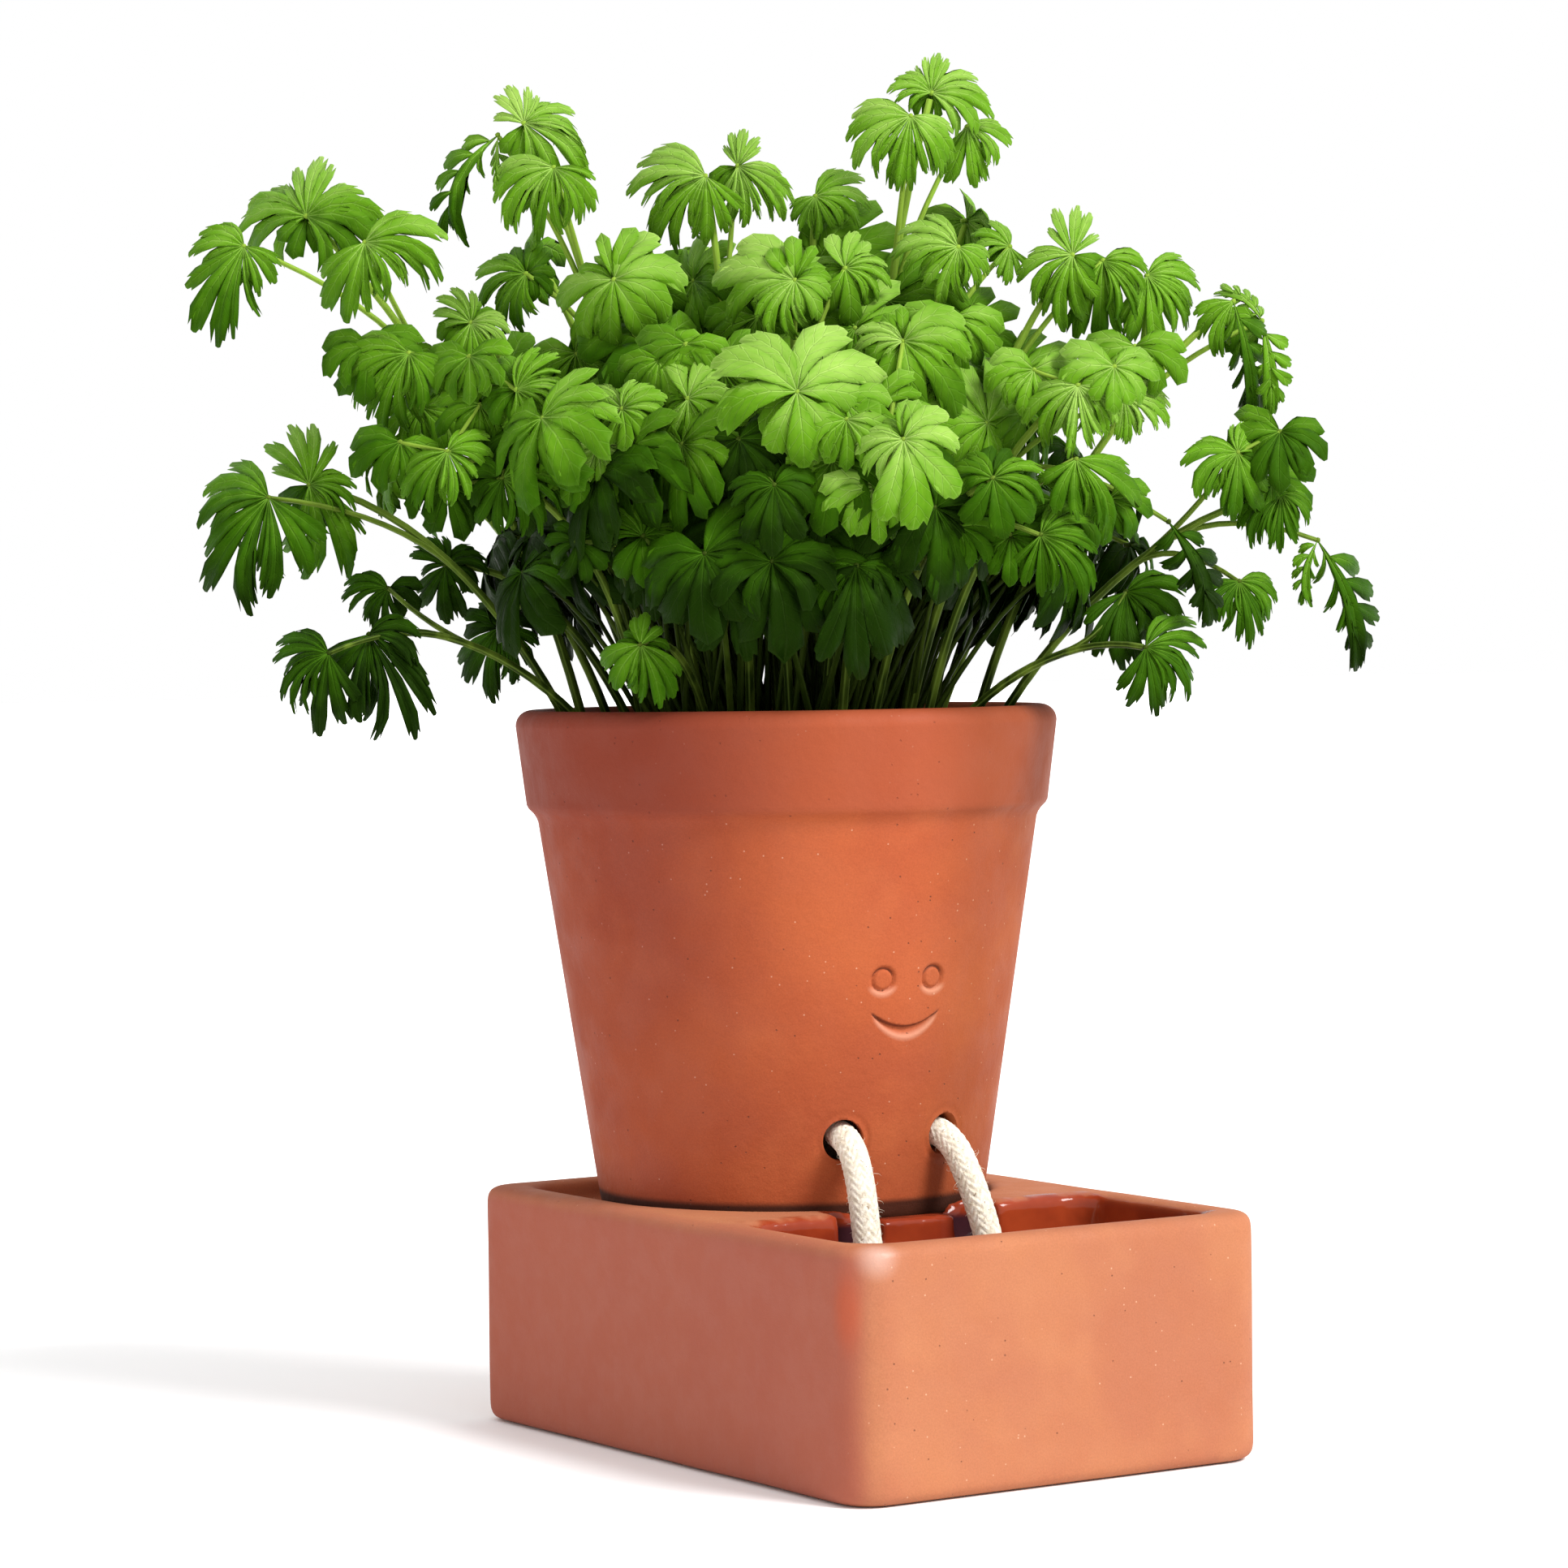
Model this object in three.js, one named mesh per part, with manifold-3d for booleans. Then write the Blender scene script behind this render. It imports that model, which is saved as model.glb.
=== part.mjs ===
// A potted parsley plant. The clay pot stands in the recess of a clay water reservoir, and a cotton wick
// runs from the reservoir's open pool through two holes in the pot and the soil.
// Millimetres, +Z up. The origin is on the reservoir's flat underside, straight below the pot's axis.
// The pool, the wick's two legs and the pressed smile are on the -Y side.

import * as THREE from 'three';
import { mergeVertices } from 'three/addons/utils/BufferGeometryUtils.js';
import Module from 'manifold-3d';

const wasm = await Module();
wasm.setup();

// Reservoir: a block with round corners, a pool in front and a recess for the pot behind.
const reservoirHalfWidth = 52.8;
const reservoirFront = -103.2;
const reservoirBack = 51.3;
const reservoirHeight = 52.9;
const reservoirCornerRadius = 9;
const reservoirEdgeRadius = 3;
const reservoirWall = 8;
const poolFloor = 8;
const poolBack = -50;
const poolCornerRadius = 7;
const poolFloorRounding = 5;
const pocketRimRounding = 2;
const recessRadius = 45.5;
const recessBackCornerRadius = 8;
const recessFloor = 48;
const recessFloorRounding = 1;
const lipHeight = 50.7;
const lipBack = -42;
const notchOffset = 15;
const notchHalfWidth = 5.25;
const notchFloor = 42;
const notchBack = -43.2;

// Pot: a tapered pot with a collar, turned a little in its recess.
const seatGap = 0.3;
const potBase = recessFloor + seatGap;
const potBaseRadius = 42.2;
const potTop = 159.8;
const potTopRadius = 60;
const potWall = 5;
const potFloor = potBase + 6;
const potRimRounding = 3.5;
const potFootRounding = 3;
const collarBottom = 138.8;
const collarBottomRadius = 57.8;
const bodyTop = 135;
const bodyTopRadius = 55.3;
const potTurn = -2.6;
const wickHoleRadius = 4.5;
const wickHoleHeight = 67.5;
const wickHoleAngle = 16.3;
const eyeHeight = 102;
const smileDepth = 0.7;
const eyeRadius = 2.5;
const eyeOffset = 6.2;
const mouthHeight = 95;
const mouthHalfWidth = 8.7;
const mouthUpperSag = 6.6;
const mouthLowerSag = 10.4;

// Soil and wick.
const soilGap = 0.5;
const soilBottom = potFloor + seatGap;
const soilEdge = 148;
const soilCrown = 150.5;
const soilSlopeWidth = 16;
const wickRadius = 3.15;
const wickSides = 8;
const wickSteps = 22;
const wickClearance = 0.7;

// Plant: it is broadest along a line that is turned from the reservoir's front.
const plantTurn = -33;
const stalkRadius = 1;
const stalkSides = 5;
const stalkSteps = 4;
const stalkDepth = 8;
const stalkFootReach = 42;
const holeClearance = 0.7;
const holeExtraDepth = 0.4;
const shootRadius = 0.8;
const shootSides = 4;
const shootSteps = 2;
const leafThickness = 0.85;
const leafLift = 0.55;
const leafSpread = 0.35;
const leafDroop = 0.014;
const leafletCrease = 0.08;

const material = (color, roughness) => new THREE.MeshStandardMaterial({ color, roughness, metalness: 0 });
const clay = () => material(0xc4633f, 0.75);
const cotton = () => material(0xe9dfcf, 0.95);
const earth = () => material(0x2e2119, 1);
const leafGreen = () => material(0x3f7d22, 0.5);

// A closed geometry as a solid. Triangles without area are left out, and faces are turned outwards.
function toSolid(geometry) {
  const bare = geometry.clone();
  bare.deleteAttribute('normal');
  bare.deleteAttribute('uv');
  const merged = mergeVertices(bare, 1e-4);
  const place = merged.attributes.position;
  const corners = [];
  let volume = 0;
  for (let i = 0; i < merged.index.count; i += 3) {
    const [a, b, c] = [0, 1, 2].map((k) => merged.index.getX(i + k));
    if (a === b || b === c || c === a) continue;
    corners.push([a, b, c]);
    const [p, q, r] = [a, b, c].map((k) => new THREE.Vector3().fromBufferAttribute(place, k));
    volume += p.dot(q.cross(r));
  }
  const outwards = volume < 0 ? corners.map(([a, b, c]) => [a, c, b]) : corners;
  return new wasm.Manifold(new wasm.Mesh({
    numProp: 3,
    vertProperties: Float32Array.from(place.array),
    triVerts: Uint32Array.from(outwards.flat()),
  }));
}

function toGeometry(solid) {
  const { vertProperties, triVerts } = solid.getMesh();
  const geometry = new THREE.BufferGeometry();
  geometry.setAttribute('position', new THREE.BufferAttribute(vertProperties, 3));
  geometry.setIndex(new THREE.BufferAttribute(triVerts, 1));
  geometry.computeVertexNormals();
  return geometry;
}

// An outline with straight sides and round corners. The front corners may differ from the back ones.
function roundedOutline(halfWidth, front, back, frontRadius, backRadius, steps) {
  const corners = [
    [halfWidth - backRadius, back - backRadius, backRadius, 0],
    [-halfWidth + backRadius, back - backRadius, backRadius, 90],
    [-halfWidth + frontRadius, front + frontRadius, frontRadius, 180],
    [halfWidth - frontRadius, front + frontRadius, frontRadius, 270],
  ];
  const points = [];
  for (const [x, y, radius, start] of corners) {
    for (let i = 0; i <= steps; i += 1) {
      const angle = THREE.MathUtils.degToRad(start + (90 * i) / steps);
      points.push(new THREE.Vector2(x + radius * Math.cos(angle), y + radius * Math.sin(angle)));
    }
  }
  return points;
}

// A closed body through outlines at rising heights, each with the same number of points.
function loft(rings) {
  const count = rings[0].points.length;
  const places = rings.flatMap(({ points, z }) => points.flatMap(({ x, y }) => [x, y, z]));
  const index = [];
  for (let ring = 0; ring + 1 < rings.length; ring += 1) {
    for (let i = 0; i < count; i += 1) {
      const a = ring * count + i;
      const b = ring * count + ((i + 1) % count);
      index.push(a, b, b + count, a, b + count, a + count);
    }
  }
  const last = (rings.length - 1) * count;
  for (const [a, b, c] of THREE.ShapeUtils.triangulateShape(rings[0].points, [])) index.push(a, c, b);
  for (const [a, b, c] of THREE.ShapeUtils.triangulateShape(rings.at(-1).points, [])) {
    index.push(last + a, last + b, last + c);
  }
  const geometry = new THREE.BufferGeometry();
  geometry.setAttribute('position', new THREE.Float32BufferAttribute(places, 3));
  geometry.setIndex(index);
  return toSolid(geometry);
}

// A tube of equal section along a curve.
function tube(curve, radius, sides, steps) {
  const section = new THREE.Shape();
  for (let i = 0; i < sides; i += 1) {
    const angle = (2 * Math.PI * i) / sides;
    section[i ? 'lineTo' : 'moveTo'](radius * Math.cos(angle), radius * Math.sin(angle));
  }
  return toSolid(new THREE.ExtrudeGeometry(section, { steps, extrudePath: curve, bevelEnabled: false }));
}

function lathe(profile, segments) {
  const points = profile.map(([radius, z]) => new THREE.Vector2(radius, z));
  return toSolid(new THREE.LatheGeometry(points, segments).rotateX(Math.PI / 2));
}

// A prism whose outline stands upright in x and z and which runs from one y to another.
function uprightPrism(shape, fromY, toY) {
  const options = { depth: toY - fromY, bevelEnabled: false, curveSegments: 6 };
  const geometry = new THREE.ExtrudeGeometry(shape, options);
  return toSolid(geometry.rotateX(Math.PI / 2).translate(0, toY, 0));
}

// Fewer triangles where neighbours lie in one plane.
function simplified(solid, tolerance) {
  return solid.asOriginal().simplify(tolerance);
}

// A pocket to cut out of the reservoir, with a rounded floor and a rim that flares into the top.
function reservoirPocket(front, back, halfWidth, frontRadius, backRadius, floor, floorRounding, steps) {
  const ring = (grow, z) => ({
    points: roundedOutline(
      halfWidth + grow, front - grow, back + grow, frontRadius + grow, backRadius + grow, steps,
    ),
    z,
  });
  const bulge = 1 - Math.SQRT1_2;
  return loft([
    ring(-floorRounding, floor),
    ring(-floorRounding * bulge, floor + floorRounding * bulge),
    ring(0, floor + floorRounding),
    ring(0, reservoirHeight - pocketRimRounding),
    ring(pocketRimRounding * bulge, reservoirHeight - pocketRimRounding * bulge),
    ring(pocketRimRounding, reservoirHeight),
    ring(pocketRimRounding, reservoirHeight + 1),
  ]);
}

// The reservoir's block, less its pool, its recess, the lowered lip and two round notches for the wick.
function makeReservoir() {
  const rounding = [0, 35, 90].map(THREE.MathUtils.degToRad);
  const edge = reservoirEdgeRadius;
  const cornerSteps = 4;
  const ring = (inset, z) => ({
    points: roundedOutline(
      reservoirHalfWidth - inset, reservoirFront + inset, reservoirBack - inset,
      reservoirCornerRadius - inset, reservoirCornerRadius - inset, cornerSteps,
    ),
    z,
  });
  const block = loft([
    ...rounding.map((t) => ring(edge * (1 - Math.sin(t)), edge * (1 - Math.cos(t)))),
    ...rounding.map((t) => ring(edge * (1 - Math.cos(t)), reservoirHeight - edge * (1 - Math.sin(t)))),
  ]);
  const pool = reservoirPocket(
    reservoirFront + reservoirWall, poolBack, reservoirHalfWidth - reservoirWall,
    poolCornerRadius, poolCornerRadius, poolFloor, poolFloorRounding, cornerSteps,
  );
  const recessHalfWidth = recessRadius - pocketRimRounding;
  const recess = reservoirPocket(
    -recessHalfWidth, reservoirBack - reservoirWall, recessHalfWidth,
    recessHalfWidth, recessBackCornerRadius, recessFloor, recessFloorRounding, 2 * cornerSteps + 1,
  );
  const above = reservoirHeight + 1;
  const cutFront = poolBack - edge - 1;
  const lip = new THREE.Shape();
  lip.moveTo(-notchOffset, lipHeight);
  lip.lineTo(notchOffset, lipHeight);
  lip.lineTo(notchOffset, above);
  lip.lineTo(-notchOffset, above);
  let reservoir = block.subtract(pool).subtract(recess).subtract(uprightPrism(lip, cutFront, lipBack));
  for (const side of [-1, 1]) {
    const x = side * notchOffset;
    const notch = new THREE.Shape();
    notch.moveTo(x + notchHalfWidth, above);
    notch.lineTo(x - notchHalfWidth, above);
    notch.absarc(x, notchFloor + notchHalfWidth, notchHalfWidth, Math.PI, 2 * Math.PI, false);
    reservoir = reservoir.subtract(uprightPrism(notch, cutFront, notchBack));
  }
  return simplified(reservoir, 0.01);
}

// The pot's inner radius at a height, a wall's thickness inside its tapered body.
function potInnerRadius(z) {
  const slope = (bodyTopRadius - potBaseRadius) / (bodyTop - potBase);
  return potBaseRadius - potWall + slope * (z - potBase);
}

// A wick hole through the pot's wall, on its left (-1) or right (1) side.
function wickHole(side) {
  const geometry = new THREE.CylinderGeometry(wickHoleRadius, wickHoleRadius, 4 * potWall, 12);
  geometry.translate(0, -potBaseRadius, wickHoleHeight);
  return toSolid(geometry.rotateZ(THREE.MathUtils.degToRad(side * wickHoleAngle)));
}

// The pot is a turned shell with two wick holes and a smile pressed in its front.
function makePot() {
  let pot = lathe([
    [0, potBase],
    [potBaseRadius - potFootRounding, potBase],
    [potBaseRadius - 0.3 * potFootRounding, potBase + 0.3 * potFootRounding],
    [potInnerRadius(potBase + potFootRounding) + potWall, potBase + potFootRounding],
    [bodyTopRadius, bodyTop],
    [collarBottomRadius - 0.9, collarBottom - 1.5],
    [collarBottomRadius, collarBottom],
    [potTopRadius, potTop - potRimRounding],
    [potTopRadius - 0.3 * potRimRounding, potTop - 0.3 * potRimRounding],
    [potTopRadius - potRimRounding, potTop],
    [potInnerRadius(potTop) + 1, potTop - 1.5],
    [potInnerRadius(potTop - 5), potTop - 5],
    [potInnerRadius(potFloor + potFootRounding), potFloor + potFootRounding],
    [potInnerRadius(potFloor) - potFootRounding, potFloor],
    [0, potFloor],
  ], 40);
  const press = (shape, sink) => {
    const surface = -potInnerRadius(eyeHeight) - potWall;
    pot = pot.subtract(uprightPrism(shape, surface - potWall, surface + sink));
  };
  for (const side of [-1, 1]) {
    pot = pot.subtract(wickHole(side));
    const eye = new THREE.Shape();
    eye.absellipse(side * eyeOffset, eyeHeight, eyeRadius, eyeRadius, 0, 2 * Math.PI);
    press(eye, smileDepth + 0.4);
  }
  const mouth = new THREE.Shape();
  mouth.moveTo(-mouthHalfWidth, mouthHeight);
  mouth.quadraticCurveTo(0, mouthHeight - mouthLowerSag, mouthHalfWidth, mouthHeight);
  mouth.quadraticCurveTo(0, mouthHeight - mouthUpperSag, -mouthHalfWidth, mouthHeight);
  press(mouth, smileDepth + 2);
  return simplified(pot, 0.01);
}

// The wick's centre line: from its left end in the pool, through the soil, to its right end in the pool.
const wickRoute = [
  [-16.4, -55.6, 12], [-16.4, -55.3, 24], [-16.2, -54.6, 35], [-15.9, -53.9, 42], [-15.7, -52.2, 51],
  [-15.4, -50, 59], [-15, -47, 64.8], [-14.2, -43.1, 67.5], [-13.1, -39.4, 68.2], [-11.6, -32.5, 69.6],
  [-9.4, -20, 72], [-6, -8, 74], [0, -3, 75], [5, -8, 74], [7.4, -20, 72], [8.6, -32.5, 69.6],
  [9.5, -39.3, 68.2], [10.4, -43.1, 67.5], [11.2, -47.1, 64.8], [12.2, -51, 58.4], [13.4, -54.9, 48.6],
  [14.5, -57.4, 38], [15.2, -59, 25], [15.6, -59.6, 12],
].map((point) => new THREE.Vector3(...point));

function wickTube(radius) {
  return tube(new THREE.CatmullRomCurve3(wickRoute), radius, wickSides, wickSteps);
}

// The soil fills the pot, with a channel for the wick and a hole for each stalk.
function makeSoil(stalkHoles) {
  const radiusAt = (z) => potInnerRadius(z) - soilGap;
  const body = lathe([
    [0, soilBottom],
    [radiusAt(soilBottom) - potFootRounding, soilBottom],
    [radiusAt(soilBottom + potFootRounding), soilBottom + potFootRounding],
    [radiusAt(soilEdge), soilEdge],
    [radiusAt(soilEdge) - soilSlopeWidth, (soilEdge + soilCrown) / 2],
    [0, soilCrown],
  ], 24);
  const channel = wickTube(wickRadius + wickClearance);
  return simplified(body.subtract(wasm.Manifold.union([channel, ...stalkHoles])), 0.02);
}

// One leafy stalk is a row: its name, then its leaf clusters. The first cluster ends the stalk and the others
// sit on side shoots. A cluster is placed across, above the ground and towards the plant's broad front, and
// its leaflets each have a direction in degrees (0 to the right, 90 up), a length and, if narrow, a width.
const stalkRows = [
  ['left_top', [
    [-105, 270, -4, [[165, 18], [-8, 20], [88, 15]]],
    [-117, 262, 15, [[-106, 23], [168, 13], [-65, 12]]],
    [-90, 262, 22, [[-103, 18], [-6, 19], [-52, 14]]],
  ]],
  ['left_middle', [
    [-68, 245, 10, [[-85, 15], [130, 10], [-20, 10]]],
    [-81, 238, 20, [[-116, 20], [190, 18], [-64, 14]]],
  ]],
  ['left_arm', [
    [-104, 210, 10, [[-60, 22], [105, 15], [-10, 12]]],
    [-112, 207, 20, [[176, 18], [-112, 26], [-76, 22]]],
  ]],
  ['left_low', [
    [-90, 177, 28, [[-60, 25], [-100, 19], [-5, 13]]],
    [-98, 173, 37, [[172, 13], [-98, 18], [-142, 15]]],
    [-87, 187, 10, [[176, 11], [-120, 10]]],
  ]],
  ['left_back', [
    [-75, 192, 0, [[-95, 13], [130, 9], [10, 10]]],
    [-64, 178, -10, [[-105, 17], [-60, 13]]],
  ]],
  ['top_left', [
    [-56, 289, 5, [[-32, 20], [105, 10], [12, 12]]],
    [-62, 287, 0, [[-128, 26, 0.7], [-92, 13, 0.8]]],
    [-49, 278, 18, [[-150, 17], [-103, 17], [-52, 14]]],
    [-56, 256, 4, [[186, 13], [-130, 14]]],
  ]],
  ['top_middle', [
    [-16, 276, 15, [[172, 18], [-140, 19], [-86, 15]]],
    [-9, 279, 5, [[-42, 16], [-76, 14], [80, 9]]],
  ]],
  ['upper_left', [[-36, 253, 25, [[-95, 15], [20, 16], [-140, 15]]]]],
  ['top_right', [
    [34, 295, 0, [[-3, 15], [85, 10], [155, 10]]],
    [29, 289, 10, [[-152, 17], [-100, 17], [-50, 15]]],
    [42, 288, -5, [[-35, 11], [-85, 14]]],
  ]],
  ['right_upper', [
    [39, 260, 12, [[165, 15], [-115, 14], [-50, 10]]],
    [51, 261, -2, [[138, 9], [-90, 9]]],
  ]],
  ['right_high', [
    [64, 258, 12, [[-112, 17], [-150, 14], [85, 12]]],
    [71, 257, 7, [[-95, 19], [-55, 15], [-18, 12]]],
  ]],
  ['right_top', [
    [100, 248, 3, [[-80, 28, 0.7], [-125, 13]]],
    [107, 244, -4, [[-86, 21, 0.7], [125, 12, 0.7]]],
    [81, 254, 2, [[-85, 18], [-38, 15], [5, 13]]],
  ]],
  ['right_arm', [
    [109, 205, 14, [[-95, 13], [-140, 14], [-30, 9]]],
    [99, 214, 20, [[-160, 14], [-95, 15], [60, 9]]],
    [118, 195, 4, [[-68, 30, 0.6], [-115, 15, 0.7]]],
    [99, 186, 20, [[-75, 15], [-25, 11], [-130, 10]]],
  ]],
  ['top_right_inner', [[8, 273, -5, [[12, 13], [-80, 10], [-120, 9]]]]],
  ['upper_middle', [
    [3, 252, 30, [[160, 18], [-130, 14], [-45, 10]]],
    [14, 255, 22, [[-80, 13], [0, 11], [80, 9]]],
  ]],
  ['right_low', [
    [77, 172, 40, [[-30, 15], [-78, 15], [20, 14]]],
    [74, 184, 25, [[-8, 14], [-105, 17]]],
  ]],
  ['right_front', [
    [63, 228, 42, [[-95, 16], [-140, 15], [-50, 13]]],
    [74, 226, 24, [[-10, 12], [-80, 10]]],
    [83, 199, 30, [[-62, 24, 0.6]]],
  ]],
  ['right_dark', [[62, 212, 50, [[-50, 18], [-100, 13]]]]],
  ['right_inner', [
    [44, 208, 58, [[0, 12], [-82, 13], [150, 9]]],
    [54, 196, 56, [[-42, 17], [30, 12], [-92, 13]]],
  ]],
  ['front_high', [[3, 226.5, 62, [[-84, 16], [148, 19], [33, 20]]]]],
  ['front_right', [
    [25, 216, 68, [[-78, 19], [10, 12], [-155, 11]]],
    [26, 238, 40, [[-48, 20], [5, 15], [170, 11]]],
  ]],
  ['front_left', [
    [-20, 226, 48, [[-90, 15], [70, 12], [8, 10]]],
    [-34, 224, 48, [[165, 11], [30, 10], [-80, 9]]],
  ]],
  ['middle_left', [
    [-39.5, 216, 44, [[-20, 10], [172, 10], [-82, 9]]],
    [-57, 229, 35, [[5, 14], [-45, 12], [50, 12]]],
  ]],
  ['left_front', [
    [-60, 210, 38, [[0, 16], [-42, 15], [-100, 12]]],
    [-72, 216, 35, [[-127, 15], [-72, 12], [10, 10]]],
  ]],
  ['front_middle', [[-2, 207, 64, [[-95, 15], [190, 10], [-10, 10]]]]],
  ['front_low_left', [[-11, 191, 58, [[-82, 21], [-148, 14], [-40, 14]]]]],
  ['front_low_right', [
    [15, 190, 60, [[-92, 24], [-140, 13], [-35, 13]]],
    [37, 198, 55, [[-40, 10], [-100, 9]]],
  ]],
  ['front_small', [
    [-30, 197, 48, [[0, 11], [-92, 11], [130, 10]]],
    [-44, 196, 48, [[-70, 9]]],
  ]],
  ['front_lowest', [[-30.5, 174, 56, [[-70, 14], [-128, 11], [80, 7]]]]],
];

// Stalks behind, placed by a rule: fanned round the far side, tall ones inside and low ones outside.
const backFan = [
  { count: 5, from: 116, to: 244, reach: 88, height: 214 },
  { count: 4, from: 116, to: 244, reach: 56, height: 264 },
];
const backLeaflets = { count: 3, spacing: 78, shortest: 13, lengthRange: 7 };

// Inner stalks with one leaf each, placed by a rule: a draw is turned by the golden angle and stands somewhere
// in the plant's heart, under a dome. These are the draws that are clear of all the other stalks.
const innerDraws = [71, 619, 690, 946, 2664, 3204, 3276, 3900, 4643, 4831, 5519, 5615];
const goldenTurn = 137.5;
const innerNearest = 10;
const innerWidth = 46;
const domeHeight = 252;
const domeFall = 0.014;
const domeDepth = 42;
const innerLeaflets = { count: 4, spacing: 84, shortest: 16, lengthRange: 4 };

// Where a drawn leaf's leaflets are fanned about, and how far each may be turned from its place.
const leafletsHang = -92;
const leafletTurnRange = 26;

const up = new THREE.Vector3(0, 0, 1);
const turned = (degrees) => {
  const angle = THREE.MathUtils.degToRad(plantTurn + degrees);
  return {
    right: new THREE.Vector3(Math.cos(angle), Math.sin(angle), 0),
    toward: new THREE.Vector3(Math.sin(angle), -Math.cos(angle), 0),
  };
};

// A repeatable draw between 0 and 1 for two counters.
function draw(a, b) {
  const value = Math.sin(a * 12.9898 + b * 78.233) * 4375.5453;
  return value - Math.floor(value);
}

// The leaflets of a drawn leaf, fanned about the way it hangs.
function drawnLeaflets({ count, spacing, shortest, lengthRange }, seed, k) {
  return Array.from({ length: count }, (_, n) => [
    leafletsHang + (n - (count - 1) / 2) * spacing + leafletTurnRange * (draw(seed + n, k + 4) - 0.5),
    shortest + lengthRange * draw(seed + n, k + 6),
  ]);
}

// Every leafy stalk, with its clusters as points, the way they face and their leaflets.
function listStalks() {
  const stalks = stalkRows.map(([name, clusters], seed) => ({
    name,
    seed,
    clusters: clusters.map(([across, height, toward, leaflets]) => {
      const axes = turned(0);
      const at = axes.right.clone().multiplyScalar(across).addScaledVector(axes.toward, toward).setZ(height);
      return { at, facing: 0, leaflets };
    }),
  }));
  for (const { count, from, to, reach, height } of backFan) {
    for (let i = 0; i < count; i += 1) {
      const seed = stalks.length;
      const angle = from + ((to - from) * i) / (count - 1);
      const clusters = [0, 1].map((k) => {
        const facing = angle + 8.5 * (k ? -1 : 1);
        const out = reach * (0.9 + 0.2 * draw(seed, k)) * (k ? 0.86 : 1);
        const z = height + 12 * (draw(seed, k + 2) - 0.5) - 22 * k;
        const at = turned(facing).toward.clone().multiplyScalar(out).setZ(z);
        return { at, facing, leaflets: drawnLeaflets(backLeaflets, seed, k) };
      });
      stalks.push({ name: `back_${seed - stalkRows.length + 1}`, seed, clusters });
    }
  }
  innerDraws.forEach((seed, i) => {
    const facing = (seed * goldenTurn) % 360;
    const out = innerNearest + innerWidth * draw(seed, 1);
    const height = domeHeight - domeFall * out * out - domeDepth * draw(seed, 2);
    const at = turned(facing).toward.clone().multiplyScalar(out).setZ(height);
    const leaflets = drawnLeaflets(innerLeaflets, seed, 0);
    stalks.push({ name: `inner_${i + 1}`, seed, clusters: [{ at, facing, leaflets }] });
  });
  return stalks;
}

// A stalk rises straight out of the soil, then leans over to its end cluster. Far ones stand near the rim.
function stalkCurve(end, seed) {
  const reach = Math.hypot(end.x, end.y);
  const outward = new THREE.Vector3(end.x, end.y, 0).normalize();
  const footReach = Math.min(stalkFootReach, 6 + 0.36 * reach) - 5 * draw(seed, 11);
  const sideways = new THREE.Vector3(-outward.y, outward.x, 0).multiplyScalar(7 * (draw(seed, 12) - 0.5));
  const foot = outward.clone().multiplyScalar(footReach).add(sideways).setZ(soilEdge - stalkDepth);
  const rise = end.z - foot.z;
  const climb = THREE.MathUtils.clamp((end.z - 195) / 70, -0.2, 1.2);
  const arrive = outward.clone().multiplyScalar(reach / 100).addScaledVector(up, climb).normalize();
  const spread = end.distanceTo(foot);
  return new THREE.CubicBezierCurve3(
    foot,
    foot.clone().addScaledVector(up, 0.3 * Math.max(rise, 60)).addScaledVector(outward, 0.06 * reach),
    end.clone().addScaledVector(arrive, -0.36 * spread),
    end,
  );
}

// Half a leaflet's outline, as angles from its rib and reaches: a side lobe, a notch and half the end lobe.
const halfLeaflet = [[60, 0.66], [42, 0.93], [23, 0.58], [9, 1]];
const leafletMiddle = 0.42;
const hubRadius = 2.6;
const widestHubGap = 130;

// A leaf's outline round its hub, seen from the front. The faces of a leaflet meet in a point on its rib.
// Leaflets that are close to each other are narrower on that side, so that no lobes cross.
function leafPlan(leaflets) {
  const polar = (degrees, reach) => {
    const t = THREE.MathUtils.degToRad(degrees);
    return new THREE.Vector2(reach * Math.cos(t), reach * Math.sin(t));
  };
  const sorted = leaflets
    .map(([direction, length, width = 1]) => ({ direction: (direction + 360) % 360, length, width }))
    .sort((a, b) => a.direction - b.direction);
  const gapAfter = sorted.map(({ direction }, i) => {
    const next = i + 1 < sorted.length ? sorted[i + 1].direction : sorted[0].direction + 360;
    return next - direction;
  });
  const outline = [];
  const blades = [];
  const hub = [];
  sorted.forEach(({ direction, length, width }, i) => {
    const squeeze = (gap) => width * Math.min(1, (gap / 2 - 2) / 60);
    const gapBefore = gapAfter[(i + sorted.length - 1) % sorted.length];
    const blade = { start: outline.length, middle: polar(direction, leafletMiddle * length) };
    for (const [angle, reach] of halfLeaflet) {
      outline.push(polar(direction - angle * squeeze(gapBefore), reach * length));
    }
    for (const [angle, reach] of halfLeaflet.toReversed()) {
      outline.push(polar(direction + angle * squeeze(gapAfter[i]), reach * length));
    }
    blade.end = outline.length;
    blades.push(blade);
    const notches = Math.ceil(gapAfter[i] / widestHubGap);
    for (let k = 0; k < notches; k += 1) {
      hub.push(outline.length);
      outline.push(polar(direction + (gapAfter[i] * (k + 0.5)) / notches, hubRadius));
    }
  });
  return { outline, blades, hub };
}

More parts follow.
